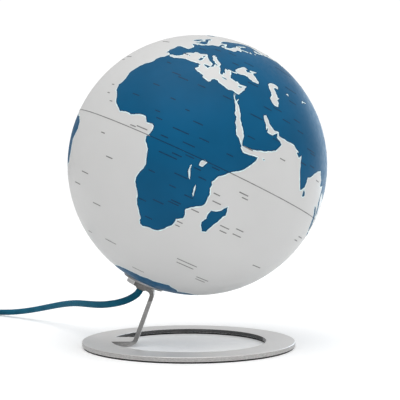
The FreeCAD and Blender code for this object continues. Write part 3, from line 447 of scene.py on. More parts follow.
# Longitude and latitude in degrees, in the order of a walk along each shore.
LAND = {
    "africa": """
-5.9,35.8 -5.3,35.9 -4.3,35.2 -2.9,35.3 -2,35.1 -0.6,35.8 1,36.4 3.1,36.9 5.2,36.8 7.8,37 9.8,37.3 10.3,36.9
11,37.1 10.5,36.3 11,35.7 11.1,35.2 10.6,34.6 10.1,34 10.7,33.6 12.3,32.9 13.2,32.9 15.4,32.3 15.8,31.3
17.5,30.8 19.2,30.3 20.1,31 20.1,32.1 21,32.8 22.6,32.8 23.3,32.2 24.9,31.8 27.5,31.2 29,30.9 30,31.3
31,31.6 32.3,31.3 32.6,30 32.7,29.2 33.5,28 33.9,27.1 34.8,25.7 35.6,24.1 35.6,23 36.9,22 37.2,20.9
37.3,19.5 38.5,18 39.2,16.2 39.6,15.4 41.2,14.6 42.3,13.2 43.2,12.5 43.2,11.6 44.7,10.4 46.5,10.7 48.7,11.3
51.2,11.9 51,10.4 50,8.1 49,6.2 48,4.5 46,2.4 44,1 42.6,-0.4 41.5,-1.8 40.2,-2.8 39.6,-4.2 38.8,-6 39.5,-7
39.4,-8.6 40.5,-10.6 40.6,-12.9 40.8,-14.8 40,-16.2 38,-17.3 36.8,-18.2 34.8,-19.9 34.8,-20.6 35.5,-22.1
35.5,-23.8 34,-24.8 32.8,-25.4 32.8,-27 32.3,-28.6 31,-29.9 30,-31.3 28.2,-32.9 26.4,-33.8 25.6,-34 23.5,-34
22,-34.2 20,-34.8 18.8,-34.2 18.4,-34.2 18.3,-33.3 17.9,-32.8 18.3,-31.8 17.3,-30.3 16.5,-28.6 15.2,-26.8
14.8,-25.3 14.5,-22.9 13.4,-20.8 12,-18.6 11.8,-16.8 12.3,-15 13.5,-12.4 13.8,-10.7 13.1,-8.8 12.5,-6.8
12.2,-6 11.8,-4.8 10.5,-3.3 9.3,-2.2 8.8,-0.7 9.4,0.3 9.8,1.5 9.8,3 9.6,4 8.6,4.6 7,4.4 6.1,4.3 5.3,5.3
4.4,6.3 3.2,6.4 1.3,6.1 0,5.6 -2,4.8 -3.2,5.1 -5,5.1 -7.6,4.4 -9.2,5.4 -10.8,6.3 -12.5,7.5 -13.2,8.6
-13.7,9.6 -14.9,10.9 -16.4,12 -16.8,13.5 -17.5,14.7 -16.6,15.7 -16.1,18.1 -16.4,19.4 -17,20.9 -16.9,22
-15.9,23.8 -14.7,25.9 -13.2,27.6 -11.5,28.4 -10.2,29.4 -9.7,30.4 -9.8,31.5 -8.5,33.3 -6.8,34.1""",
    "eurasia": """
32.3,31.3 34.2,31.3 34.9,32.8 35.8,34.5 35.8,35.7 36.2,36.7 35.3,36.6 34,36.3 32.8,36 31,36.8 30.5,36.3
29,36.6 27.4,36.8 26.8,38.3 26.8,39.2 26.1,39.6 26.7,40.4 28,40.4 29.3,40.6 29.1,41.1 31.4,41.3 33.3,42
35.1,42 36.3,41.4 38.3,41 41.5,41.5 41.4,42.5 39.8,43.5 37.8,44.7 37.2,45.4 38.2,46.3 39.2,47.1 37.5,46.9
35.2,46.3 34.9,45.8 36.4,45.3 35.4,45 33.9,44.4 33.4,44.7 32.6,45.4 33.6,46.1 31.6,46.6 30.7,46.3 29.7,45.2
28.7,44.2 27.9,42.9 27.6,42.4 28.1,41.6 29,41.2 28,41 27.2,40.7 26.2,40.1 26,40.8 24.4,40.9 24.2,40.1
22.8,40.5 22.8,39.6 23.3,39 24.1,37.8 23,37.9 23.1,36.5 21.7,36.8 21.3,37.7 21.1,38.4 20.5,39.4 19.4,40.4
19.5,41.7 18.5,42.4 16.5,43.4 15.2,44.3 14.6,45.2 13.7,44.9 13.6,45.7 12.3,45.4 12.4,44.4 13.6,43.6
14.2,42.4 15.9,41.9 16,41.4 17.9,40.7 18.4,39.9 17,40.5 16.6,39.8 17.1,39 16.5,38.4 15.8,37.9 15.9,38.7
15.7,40 14.4,40.7 12.8,41.4 11.8,42.1 10.4,43.2 9.8,44.1 8.8,44.4 7.5,43.8 6.3,43.1 4.5,43.4 3.1,43 3.2,42
0.9,41 -0.3,39.5 0.2,38.7 -0.7,37.7 -2.1,36.8 -4.4,36.7 -5.6,36 -6.4,36.8 -7.4,37.2 -8.9,37 -8.8,38.4
-9.4,38.8 -8.8,40.5 -8.8,41.9 -9.2,43.1 -8,43.7 -5,43.5 -1.8,43.4 -1.2,44.7 -1.1,46 -2.2,47.2 -4.4,47.9
-4.7,48.5 -1.6,48.7 -1.8,49.7 -1.1,49.4 0.2,49.6 1.6,50.4 1.7,50.9 3.5,51.5 4.7,53 7,53.5 8.6,53.9 8.3,55.5
8.2,57 10.6,57.7 10.4,56.3 9.8,55.2 10.9,54.3 12.5,54.4 14.2,53.9 16.5,54.5 18.6,54.6 19.9,54.6 21.1,55.6
21.2,57 22.6,57.7 24.1,57.1 24.4,58.3 23.5,59.2 26,59.6 28.1,59.6 30.1,59.9 28.5,60.6 25,60.2 22.9,59.9
21.4,61 21.5,62.9 24.7,64.9 24.2,65.8 22.2,65.6 21.3,64.3 18,62.5 17.3,61 18.8,60 17,58.6 16.5,57 15.9,56.2
14.3,55.5 12.9,55.6 11.3,58.5 10.6,59.4 8.5,58.3 6.6,58.1 5.4,59 5,61.2 7,62.8 10,63.8 12.5,66 14.5,67.5
16.5,68.8 19.5,70 23.5,70.8 27.5,71.1 31,70.3 33.5,69.4 38,68.3 41.2,67.2 40.5,66.3 36,66.3 32.8,67
34.8,64.5 37.5,64 37,65 40,64.7 40.2,65.8 44,66.2 44,68.5 46.5,67 50,68.2 54,68.4 60,69 64.5,69.1 67,69.3
67,71.5 69.5,73 72.8,72.6 72.5,70.5 72.3,67.3 74,68 74.4,71.5 76,72.5 80.5,73.6 87,75 95,76.2 104.3,77.7
113,75.8 106,73.4 113.5,73.6 123.5,73 128,72.2 131,71 140,72.5 150,71.5 160.5,69.7 170,69.8 180,68.9
190.2,66.1 187,64.4 178,64.6 179.3,62.4 170.5,60 163.5,59.8 162,56.2 160,53.2 156.7,51 155.8,56 159.5,59.5
164,62.5 156.5,61.5 155,59.3 142.5,59.3 135.5,54.8 141,53.2 140.5,50 140.4,48 135.5,44 132,43.2 129.7,41
127.5,39.7 129.4,37 129.2,35.2 126.5,34.5 126.5,36.8 125,38 124.5,39.9 121.3,38.8 121.8,40.8 117.8,39.2
119,37.3 122.5,37.2 119.3,35 121.8,31.8 121.9,29.8 120.5,27.5 118,24.5 114.2,22.4 110.5,21.2 109.9,20.4
108.3,21.6 105.8,19 108.9,15.3 109.3,12.5 107,10.4 104.8,8.6 105,10.2 102.5,12 100.9,12.8 100.4,13.5 99.5,11
100,9.3 101.5,6.9 103.4,4.3 104.2,1.4 103,1.7 101.3,2.9 100.3,5.5 98.4,8 98.5,10.5 98,14 97.6,16.4 95.3,15.8
94.3,16 94.3,18.8 92.3,20.8 91.8,22.4 90.5,22.2 88.3,21.6 86.9,20.7 85.2,19.6 82.3,16.7 80.1,15.4 80.3,13.2
79.8,10.4 78.9,9.4 78.1,8.5 77.5,8.1 76.3,9.9 74.8,13 73.7,15.6 72.8,18.9 72.6,21.2 72.3,22.2 71,20.7
69,22.3 70.3,22.9 68.2,23.7 66.7,24.9 61.6,25.2 57.3,25.7 56.8,27 54.5,26.6 51.5,27.9 50.8,28.9 49,30.3
47.9,29.6 48.5,28.3 50.1,26.6 50.8,24.8 51.3,26.1 51.6,24.9 51.5,24.2 54.2,24.2 56,25.9 56.4,26.3 56.6,24.5
58.7,23.6 59.8,22.5 58.7,20.5 57.8,18.9 55.3,17.4 52.2,15.6 48.9,14.1 45,12.8 43.5,12.7 42.8,14.8 42.6,16.7
40.8,19.6 39.1,21.5 38,24.1 36.5,26.2 34.7,28 35,29.5 34.3,27.8 33.2,28.8 32.6,30""",
    "britain": """
-5.7,50.1 -3.5,50.3 -1.2,50.7 1.3,51.2 0.7,51.5 1.7,52.7 0.3,52.9 -0.1,54 -1.5,55 -2,55.9 -3.2,56 -2,57.5
-4,57.7 -3.1,58.6 -5,58.5 -5.8,57.3 -5.5,55.8 -4.7,55.3 -3.2,54.9 -3,53.6 -4.5,53.2 -4.2,52.3 -5.2,51.8
-3,51.4 -4.5,51""",
    "ireland": "-6,53.5 -6.3,52.2 -9.8,51.6 -9.9,53.4 -8.5,54.4 -8.2,55.1 -6.2,55.2 -5.6,54.5",
    "iceland": """
-22.5,63.9 -18.8,63.4 -14.6,64.4 -13.6,65.1 -14.8,66.3 -17,66.2 -20.3,65.8 -23.2,66.4 -24.4,65.5 -22,64.8""",
    "svalbard": "11,79.5 14,77.5 17,76.6 21,78.5 27,80 20,80.5",
    "novaya_zemlya": "52,71.5 55,70.7 57,71.5 56,73.3 62,75.5 68.5,76.8 66,77 58,75.7 54,73.5",
    "severnaya_zemlya": "95,79 100,78 105,78.6 98,81",
    "zealand": "11,55.7 12.6,56.1 12.4,55.2 11.2,55.2",
    "sicily": "12.5,38 15.6,38.2 15.1,36.7 12.5,37.6",
    "sardinia": "8.2,40.9 9.6,41.2 9.7,40 9.3,39.2 8.4,39",
    "corsica": "8.6,42.4 9.4,43 9.5,42 9.2,41.4",
    "crete": "23.6,35.6 26.2,35.3 24.8,34.95",
    "cyprus": "32.3,35 34.5,35.7 33.9,34.9 32.8,34.6",
    "mallorca": "2.4,39.6 3.2,39.9 3.1,39.3",
    "socotra": "53.3,12.6 54.5,12.5 53.8,12.3",
    "madagascar": """
49.3,-12 50.5,-15.5 49.7,-16.6 49.3,-18.2 48,-22 47,-25 45.3,-25.6 43.7,-23.4 43.3,-22 44.4,-20 44,-18
44.4,-16.2 46.3,-15.7 47.8,-14.6 48.3,-13.4""",
    "sri_lanka": "79.9,9.7 81.3,8.5 81.8,7.2 81,6.2 80.1,6.1 79.8,8",
    "honshu": """
131,34.2 132.5,34 135.2,34.6 135.8,33.5 138.7,34.7 140.8,35.7 141,38.3 142,39.7 141.3,41.4 140,40.6
139.5,38.5 137,37.3 136,35.8 133,35.5""",
    "kyushu": "130,33.6 131.8,33.5 131.4,31.4 130.2,31.2 129.8,32.8",
    "shikoku": "132.5,33.8 134.6,34.2 134.2,33.3 133,32.8",
    "hokkaido": "140,41.6 141,42.5 143.2,42 145.4,43.3 143.5,44.3 141.8,45.5 141.5,43.4",
    "sakhalin": "142,46 143.5,46.8 143.2,49.2 144.5,49 143.2,52.5 142.7,54.3 141.8,52 142,49",
    "taiwan": "121,25.1 121.9,25 120.9,22 120.1,23",
    "hainan": "108.7,19.2 110.5,20.1 111,19.6 109.5,18.2",
    "luzon": "120.6,18.5 122.2,18.4 121.6,15.8 124,13 123.9,12.6 120.7,13.8 120,15.8",
    "mindanao": "122,7 123.5,8.6 125.5,9.8 126.5,7.5 125.5,5.7 124,7",
    "visayas": "122,11.8 124,11.4 125.2,12.3 125.2,10 123,9.1 122.3,10",
    "palawan": "117.2,8.4 119.5,11.2 118,9",
    "borneo": """
109,1.5 109.7,2 111.3,2.5 113,3.2 115,5 117,7 119.2,5.2 117.7,3.5 118.9,1 117.5,0.5 116.5,-1.7 116.2,-4
114.6,-4.1 111.7,-3.4 110.1,-1.5 109.1,0.3""",
    "sumatra": """
95.3,5.6 97.5,5.2 100.3,2.9 103.5,0.5 104,-1 106,-3 105.8,-5.8 104.5,-5.8 102.3,-4 100.4,-1.2 98.7,1.7
97,3.3""",
    "java": """
105.3,-6.7 106.8,-6 108.6,-6.7 110.9,-6.4 112.7,-6.9 114.5,-7.8 114.3,-8.6 111,-8.3 106.5,-7.4""",
    "lesser_sunda": "115,-8.3 117,-8.4 119,-8.4 122.8,-8.2 120,-8.8 117,-9",
    "timor": "123.6,-10.3 127,-8.4 125.5,-9.3",
    "sulawesi": """
119.8,0.8 121,1.3 125,1.5 124,0.4 120.3,0.5 120.2,-0.9 123.3,-0.9 121.5,-1.9 122.8,-4.3 121.5,-4.6
120.9,-2.7 120.4,-5.5 119.5,-5.4 119.5,-3.4 118.9,-2.7 119.8,0""",
    "halmahera": "127.5,2 128.6,1.5 128,-0.8",
    "seram": "128,-3.2 130.7,-3.2 129.5,-3.6",
    "new_guinea": """
131,-0.8 134,-0.8 135.2,-3.4 137.8,-1.5 141,-2.6 144.5,-3.9 147.5,-6 147.2,-7 150.8,-10.3 148,-10.2
144.5,-7.7 143,-9.2 141,-9.1 138,-8.3 138.9,-7.5 138,-5.6 135.5,-4.4 132.9,-4 132.8,-3 133.8,-2.3 132,-2.2""",
    "new_britain": "148.3,-5.7 150.5,-5.5 152,-4.2 152,-5 149.8,-6.3",
    "new_caledonia": "164,-20.2 167,-22.3 166,-22.2",
    "australia": """
113.7,-22.5 114.2,-21.8 117,-20.6 119,-20 121.5,-19 122.2,-17 125,-14.5 127,-13.9 129.5,-15 130.8,-12.4
132.6,-11.4 135.5,-12.2 136.8,-12.3 135.7,-15 139.5,-17.6 141,-16.5 141.6,-13 142.5,-10.7 143.6,-14
145.4,-15 146.2,-18.8 149,-20.5 151,-23.5 153.2,-25 153.5,-28.3 152.5,-32 150.2,-36 150,-37.4 147,-38.2
145,-38 143.5,-38.8 140.5,-38 139.5,-36 138,-35.6 137.8,-33 135.8,-34.8 134,-32.8 131,-31.5 128,-32 124,-33
123.5,-33.9 120,-34 118,-35 115.2,-34.3 115.7,-32 114.2,-28.5 113.4,-26 114,-24""",
    "tasmania": "144.7,-40.7 148.3,-40.9 148,-43.2 146.5,-43.6 145.3,-42.4",
    "new_zealand_north": """
172.8,-34.5 174.8,-36.5 175.8,-37 178.3,-37.7 177,-39.5 175.3,-41.6 174.8,-41.2 173.8,-39.3 174.8,-38""",
    "new_zealand_south": """
172.8,-40.6 174.2,-41.5 172.8,-43.7 170.8,-45.7 168.5,-46.6 166.5,-46 168.3,-44 171.2,-42.4""",
    "north_america": """
-168,65.6 -162,66.5 -166,68.3 -156.5,71.3 -145,70 -135,69.3 -128,70.3 -115,68.5 -108,68 -101,67.8 -94,69
-94.5,71.9 -91,69.5 -86,69.8 -81.5,69 -82,67 -86.5,66.5 -88,64 -94.5,61 -94.5,58.7 -92.3,57 -85,55.3
-82.2,52.9 -79,51.3 -79,54.5 -77,57 -78,60 -77.5,62.5 -73.5,62.3 -70,61 -69.5,58.8 -66,58.8 -64.5,60.3
-61.5,57 -57.5,54.5 -55.7,52.5 -59,50.3 -66.5,50.2 -70,47 -65,48.9 -64.7,47.5 -64,46 -61,45.5 -65.5,43.6
-64.5,45.3 -67,44.8 -70.5,43.3 -70,41.8 -74,40.6 -75.5,38.5 -76,37 -75.6,35.3 -78.5,33.8 -81.2,31.5
-80.1,26.8 -80.6,25.2 -81.8,26 -82.8,28 -84.2,30 -88,30.3 -89.4,29.1 -91.5,29.4 -94.5,29.4 -97.3,27.5
-97.7,24 -97.5,22 -96,19 -94.5,18.2 -91.8,18.5 -90.4,20.8 -87,21.5 -87.8,18.3 -88.8,15.9 -83.3,15 -83.7,11
-82.2,9 -79.6,9.6 -77.2,8.5 -77.9,7.2 -78.5,8.8 -80.4,7.4 -83,8.2 -85.7,10 -87.6,13 -92.2,14.5 -95,16.1
-99.5,16.7 -105.5,20.3 -106.5,23.3 -109.4,26 -112.8,30 -114.7,31.7 -112.8,28 -109.5,23.1 -112.2,25.2 -115,28
-117,32.5 -120.6,34.5 -122.4,37.5 -124.3,40.4 -124,46.2 -124.7,48.3 -122.5,48.5 -127.5,51 -130.3,54.5
-133.5,58.5 -139.5,59.6 -146,60.7 -151.5,59.3 -151,61.2 -156,58 -162,55.2 -158,58.2 -162,58.7 -165,61
-164.5,63 -161,64.3 -166,64.5""",
    "newfoundland": "-59.3,47.7 -55.8,51.5 -53,48 -52.9,46.9 -55.8,46.9",
    "vancouver_island": "-128.3,50.7 -125,50 -123.5,48.4 -125.5,48.8",
    "baffin": """
-61.5,66.5 -68,70 -78,73 -85,73.7 -88,71 -78,69.8 -72.5,67 -77.5,65 -72,63.7 -65,62.6 -65.5,65""",
    "victoria_island": "-117,73 -105,73.5 -101.5,70 -107,68.6 -116,69.3 -118,71",
    "banks": "-125,72 -120,74 -116,73 -121,71.4",
    "ellesmere": "-90,76.5 -78,76.6 -75,78.6 -62,82.5 -75,83 -90,81.7 -87,79.5",
    "axel_heiberg": "-95,80 -92,81.3 -89,80 -96,78.5",
    "devon": "-92,75.3 -80,75.7 -80,74.6 -91.5,74.6",
    "melville": "-117,76 -106,76 -106,75 -114,74.8",
    "somerset": "-102,73 -97,74 -90.5,74 -93,72.5 -99,71.5",
    "southampton": "-87,63.7 -80.5,63.8 -84,65.8",
    "greenland": """
-73,78.2 -60,82 -33,83.6 -12.5,81.5 -19,78 -22,72.5 -22,70.3 -32,68 -40,65 -43.5,60 -48.5,61 -53.5,67 -51,70
-55,73 -68.5,76""",
    "cuba": "-84.8,21.9 -82.5,23.1 -77,22 -74.2,20.2 -77.6,19.9 -78.2,20.8 -82,22.4",
    "hispaniola": "-74.4,18.5 -73.2,19.9 -69.9,19.7 -68.4,18.6 -71.5,17.8",
    "jamaica": "-78.3,18.4 -76.3,18.1 -77.3,17.8",
    "puerto_rico": "-67.2,18.4 -65.7,18.3 -67,18",
    "south_america": """
-77.2,8.5 -75.5,10.6 -72,12 -71.3,11 -70,12.1 -68,10.6 -62,10.7 -60,8.5 -57,6 -51.8,4.5 -50,1 -48.5,-1.3
-44.3,-2.7 -40,-2.9 -35.4,-5.2 -34.9,-8 -37,-11.2 -38.9,-13 -39,-17.5 -40.8,-21.8 -42,-23 -45.5,-23.8
-48.6,-26 -48.8,-28.6 -52.2,-32.3 -54.9,-34.9 -58.4,-34.3 -57.3,-36.4 -58,-38.2 -62.2,-39 -65.1,-41.1
-63.7,-42.6 -67.5,-46 -65.8,-47.8 -69,-50.5 -68.4,-52.4 -65.2,-54.7 -70,-55.5 -74.5,-52 -75.5,-48 -73,-42
-73.5,-38 -71.5,-32 -71.4,-28.5 -70.2,-20 -71.5,-17.3 -76.2,-14 -79.5,-8 -81.3,-5 -80,-3 -80.9,-1 -80,0.8
-78.5,2.3 -77.3,4 -77.9,7.2""",
    "falklands": "-61,-51.6 -57.8,-51.5 -59,-52.3",
    "antarctica": """
-57,-63.2 -62,-65 -67,-67.5 -74,-70 -75,-73 -90,-73 -100,-72.5 -110,-74.5 -125,-73.7 -138,-75 -150,-77
-158,-78.2 -170,-78.6 180,-78.3 167,-77.8 164,-76 170,-72 160,-69.8 150,-68.4 142,-66.8 135,-66.1 125,-66.5
115,-66.6 108,-66.6 100,-65.5 92,-66.5 85,-66.7 80,-67.8 73.5,-69.8 67,-67.8 60,-67.2 54,-65.9 50,-67 40,-69
33,-68.7 25,-70 15,-69.9 5,-70.2 -5,-71 -12,-72.3 -20,-73.5 -26,-75.8 -35,-78 -45,-78 -60,-75 -61,-72
-61,-68 -59,-65""",
}

WATER = {
    "caspian": """
49,46.4 51.5,46.9 53,46.6 53,45.3 51.3,45.2 50.3,44.4 51.5,43.3 52.5,42 52.8,41.2 53.9,41 52.9,39.8
53.9,38.9 53.9,37 52,36.6 50,37.4 48.9,38.4 49.5,40.3 49,41.5 47.6,42.9 46.8,44.6 47.6,45.6""",
    "aral": "58.6,45.6 60.2,46.3 60.6,45.2",
    "victoria": "31.7,-0.6 33,0.4 34.1,-0.2 33.2,-2.4 31.8,-2.4",
    "tanganyika": "29.2,-3.4 29.5,-4.8 30.7,-7.5 31.1,-8.8 30.4,-8.2 29.2,-6.2",
    "malawi": "34,-9.6 34.7,-11.5 35.2,-14.2 34.4,-13.4 34.1,-11.8",
    "baikal": "103.7,51.5 107.5,52.5 109.8,54.8 109.6,55.7 108,53.8 105,52",
    "balkhash": "73.5,45.2 74.5,46.7 79,46.6 75.5,46.1",
    "ladoga": "31,60 32.8,60.6 31,61.6 30.2,61",
    "onega": "34.5,61.8 36,61 35.8,62.4",
    "superior": "-92,46.7 -88.5,48.8 -85,47.9 -84.7,46.6 -87.5,46.5",
    "michigan": "-87.8,42 -86.3,42 -86.2,44 -85.2,45.8 -87,45.7 -87.8,43.8",
    "huron": "-84,46 -80.5,45.9 -80,44.6 -81.7,43.3 -82.5,43.2 -83.3,44.8",
    "erie": "-83.2,41.7 -79,42.8 -81.5,41.6",
    "ontario": "-79.7,43.3 -76.3,44.1 -76.5,43.5",
    "winnipeg": "-98.8,53.5 -97.5,53.7 -96.5,50.6",
    "great_slave": "-116.8,61 -112,62.5 -109.5,62.8 -114,60.9",
    "great_bear": "-124.5,66 -121,67 -118,66.3 -121,65",
}

# ---------------------------------------------------------------- the ball and its map

BALL_RADIUS = 125 * MM
BALL_CENTRE = Vector((0, 0, 0.174))
SHELL_WALL = 2 * MM
POLE_HOLE = 13.2 * MM
AXIS_TILT = math.radians(25)
FRONT_MERIDIAN = 29.5  # the longitude that faces -Y
AXIS = Vector((math.sin(AXIS_TILT), 0, math.cos(AXIS_TILT)))
EAST = Vector((math.cos(AXIS_TILT), 0, -math.sin(AXIS_TILT)))
FRONT = Vector((0, -1, 0))
PRINT = 0.06 * MM  # how far printed marks stand off the shell
PRINT_SUNK = 0.03 * MM  # how far they reach into it
FRINGE = 0.035 * MM  # how far the printed lines along the shores stand off
# Small moves: round which longitude and latitude, how far each reaches, and how far east
# and north it moves the shore, all in degrees.
NUDGES = (
    (57, 24, 13, 0, -3.2),
    (90, 21, 11, 0, -3.6),
    (60, 45, 10, 1.2, -1.3),
    (12, -16, 15, -1.7, 0),
    (-15, 16, 12, -1.7, 0),
    (-8, 38, 9, -2.4, 0.3),
    (46, -20, 8, -0.9, 0),
)
ICE_EDGE = -60  # south of this latitude the shore is moved north
ICE_SHIFT = 2.2
LATTICE = 2.5  # degrees between the shell's own points
COAST_STEP = 1.1  # degrees, at most, between points along a shore
SWAY = 0.16  # of a step, how far a point along a shore strays to a side
RIM_POINTS = 72  # round the hole for the pole
EQUATOR_POINTS = 144
LEAST_GAP = 0.02  # degrees, between points on the equator
CREASE = 0.7  # radians; a sharper edge stays sharp


def degrees(text):
    """Longitude and latitude pairs."""
    return [tuple(float(number) for number in pair.split(",")) for pair in text.split()]


def on_ball(longitude, latitude, radius=BALL_RADIUS):
    angle = math.radians(longitude - FRONT_MERIDIAN)
    tilt = math.radians(latitude)
    flat = FRONT * math.cos(angle) + EAST * math.sin(angle)
    return BALL_CENTRE + (AXIS * math.sin(tilt) + flat * math.cos(tilt)) * radius


def nudged(lon, lat):
    """Move a shore point a little, where the outline drawn above sits beside the one on the object."""
    east = 0.0
    north = ICE_SHIFT if lat < ICE_EDGE else 0.0
    for middle_lon, middle_lat, reach, to_east, to_north in NUDGES:
        off = math.hypot(lon - middle_lon, lat - middle_lat) / reach
        share = math.exp(-off * off / 2)
        east += share * to_east
        north += share * to_north
    return lon + east, lat + north


def shore(text):
    """A shore walked in short uneven steps, as a closed list of longitude and latitude."""
    corners = [nudged(lon, lat) for lon, lat in degrees(text)]
    walked = []
    for (lon_a, lat_a), (lon_b, lat_b) in zip(corners, corners[1:] + corners[:1]):
        if abs(lon_b - lon_a) > 180:
            lon_b += math.copysign(360, lon_a - lon_b)
        squeeze = math.cos(math.radians((lat_a + lat_b) / 2))
        east = (lon_b - lon_a) * squeeze
        north = lat_b - lat_a
        length = math.hypot(east, north)
        steps = max(1, math.ceil(length / COAST_STEP))
        for k in range(steps):
            share = k / steps
            sway = random.uniform(-SWAY, SWAY) * min(1.0, length / steps) if k else 0.0
            lon = lon_a + (lon_b - lon_a) * share - sway * north / length / squeeze
            lat = lat_a + (lat_b - lat_a) * share + sway * east / length
            walked.append((lon, lat))
    return walked


def split_at_equator(walked):
    """The same shore with a point wherever it crosses the equator."""
    whole = []
    for (lon_a, lat_a), (lon_b, lat_b) in zip(walked, walked[1:] + walked[:1]):
        whole.append((lon_a, lat_a))
        if lat_a * lat_b < 0:
            if abs(lon_b - lon_a) > 180:
                lon_b += math.copysign(360, lon_a - lon_b)
            share = lat_a / (lat_a - lat_b)
            whole.append((lon_a + (lon_b - lon_a) * share, 0.0))
    return whole


def flat_place(lon, lat, pole):
    """A point on the flat map round one pole: its distance from the middle is its angle from the pole."""
    reach = 90 - pole * lat
    angle = math.radians(lon)
    return Vector((reach * math.cos(angle), reach * math.sin(angle)))


def inside(point, corners):
    """Whether a point of the flat map lies inside a closed outline."""
    x, y = point
    odd = False
    ax, ay = corners[-1]
    for bx, by in corners:
        if (ay > y) != (by > y) and x < ax + (bx - ax) * (y - ay) / (by - ay):
            odd = not odd
        ax, ay = bx, by
    return odd


class Outline:
    """A shore on the flat map round one pole."""

    def __init__(self, walked, pole):
        self.corners = [tuple(flat_place(lon, lat, pole)) for lon, lat in walked]
        self.low = tuple(min(c[i] for c in self.corners) for i in (0, 1))
        self.high = tuple(max(c[i] for c in self.corners) for i in (0, 1))

    def holds(self, point):
        if not all(self.low[i] <= point[i] <= self.high[i] for i in (0, 1)):
            return False
        return inside(point, self.corners)


def lattice(limit, pole):
    """Evenly spread points from near the pole to the equator."""
    spots = []
    reach = limit
    while reach < 90 - LATTICE / 2:
        around = max(6, round(360 * math.sin(math.radians(reach)) / LATTICE))
        turn = 180 / around * (len(spots) % 2)
        spots += [(360 * j / around + turn, pole * (90 - reach)) for j in range(around)]
        reach += LATTICE
    return spots


def map_half(name, node, pole, shores, hole):
    """Half of the shell, its outside cut along every shore into land and sea."""
    rim_reach = math.degrees(math.asin(hole / BALL_RADIUS)) if hole else 0.0
    rim = [(360 * j / RIM_POINTS, pole * (90 - rim_reach)) for j in range(RIM_POINTS)] if hole else []
    equator = sorted({360 * j / EQUATOR_POINTS for j in range(EQUATOR_POINTS)} | {
        lon % 360 for walked in shores.values() for lon, lat in walked if lat == 0.0})
    equator = [lon for k, lon in enumerate(equator) if not k or lon - equator[k - 1] > LEAST_GAP]
    coast_spots = []
    coast_edges = []
    for walked in shores.values():
        for k, (lon, lat) in enumerate(walked):
            far_lon, far_lat = walked[(k + 1) % len(walked)]
            if pole * lat >= 0 and pole * far_lat >= 0 and (lat or far_lat):
                coast_edges.append((len(coast_spots), len(coast_spots) + 1))
                coast_spots += [(lon, lat), (far_lon, far_lat)]
    near_coast = {(round(lon % 360), round(lat)) for lon, lat in coast_spots}
    spots = list(coast_spots)
    start = len(spots)
    spots += [(lon, 0.0) for lon in equator]
    edges = coast_edges + [(start + k, start + (k + 1) % len(equator)) for k in range(len(equator))]
    start = len(spots)
    spots += rim
    edges += [(start + k, start + (k + 1) % len(rim)) for k in range(len(rim))]
    grid = lattice(rim_reach + LATTICE * 0.8, pole) if hole else [(0.0, 90.0 * pole)] + lattice(LATTICE, pole)
    spots += [s for s in grid if (round(s[0] % 360), round(s[1])) not in near_coast]
    flat = [flat_place(lon, lat, pole) for lon, lat in spots]
    places, _, triangles, _, _, _ = delaunay_2d_cdt(flat, edges, [], 0, 1e-5)
    outlines = [Outline(walked, pole) for key, walked in shores.items() if pole < 0 or key != "antarctica"]
    points = []
    for place in places:
        lat = pole * (90 - place.length)
        points.append(on_ball(math.degrees(math.atan2(place.y, place.x)), lat))
    faces = []
    kinds = []
    for corners in triangles:
        middle = sum((places[c] for c in corners), Vector((0, 0))) / 3
        if middle.length < rim_reach or middle.length > 90:
            continue
        count = sum(outline.holds(middle) for outline in outlines)
        faces.append(tuple(corners) if pole > 0 else tuple(reversed(corners)))
        kinds.append(count % 2)
    close_shell(name, node, points, faces, kinds)


def close_shell(name, node, points, faces, kinds):
    """Give the printed outside its thickness: an inside and the edges at the seam and at the hole."""
    count = len(points)
    inner = [BALL_CENTRE + (p - BALL_CENTRE) * (1 - SHELL_WALL / BALL_RADIUS) for p in points]
    edge_use = {}
    for face in faces:
        for a, b in zip(face, face[1:] + face[:1]):
            edge_use[(a, b)] = edge_use.get((a, b), 0) + 1
    rim_faces = [(b, a, a + count, b + count) for (a, b) in edge_use if (b, a) not in edge_use]
    back_faces = [tuple(c + count for c in reversed(face)) for face in faces]
    looks = (sea_look(), land_look(), shell_inside_look())
    piece = piece_from(name, points + inner, faces + back_faces + rim_faces, "ball", "shell_plastic", *looks)
    slots = kinds + [2] * (len(back_faces) + len(rim_faces))
    bm = bmesh.new()
    bm.from_mesh(piece.data)
    bm.faces.ensure_lookup_table()
    for face, slot in zip(bm.faces, slots):
        face.material_index = slot
    bmesh.ops.delete(bm, geom=[v for v in bm.verts if not v.link_faces], context="VERTS")
    for edge in bm.edges:
        edge.smooth = not (len(edge.link_faces) == 2 and edge.calc_face_angle(0) > CREASE)
    bm.to_mesh(piece.data)
    bm.free()
    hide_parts(node)


def once(make):
    """Make a material the first time and hand out the same one afterwards."""
    made = []

    def given():
        if not made:
            made.append(make())
        return made[0]

    return given


@once
def sea_look():
    look = Look("sea_print", (0.64, 0.64, 0.635), 0.42, Specular_IOR_Level=0.3, Coat_Weight=0.08)
    look.mottle(14, 0.025)
    look.rough(look.noise(220, 2), 0.38, 0.48)
    return look.bump(look.noise(900, 2), 0.06, 0.1 * MM).material


@once
def land_look():
    look = Look("land_print", (0.0035, 0.092, 0.205), 0.45, Specular_IOR_Level=0.08)
    look.mottle(20, 0.10)
    look.rough(look.noise(220, 2), 0.34, 0.46)
    return look.bump(look.noise(900, 2), 0.06, 0.1 * MM).material


@once
def shell_inside_look():
    look = Look("shell_inside", (0.82, 0.82, 0.80), 0.55)
    return look.mottle(30, 0.03).bump(look.noise(700, 2), 0.1, 0.1 * MM).material


# ---------------------------------------------------------------- lines and marks printed on the ball

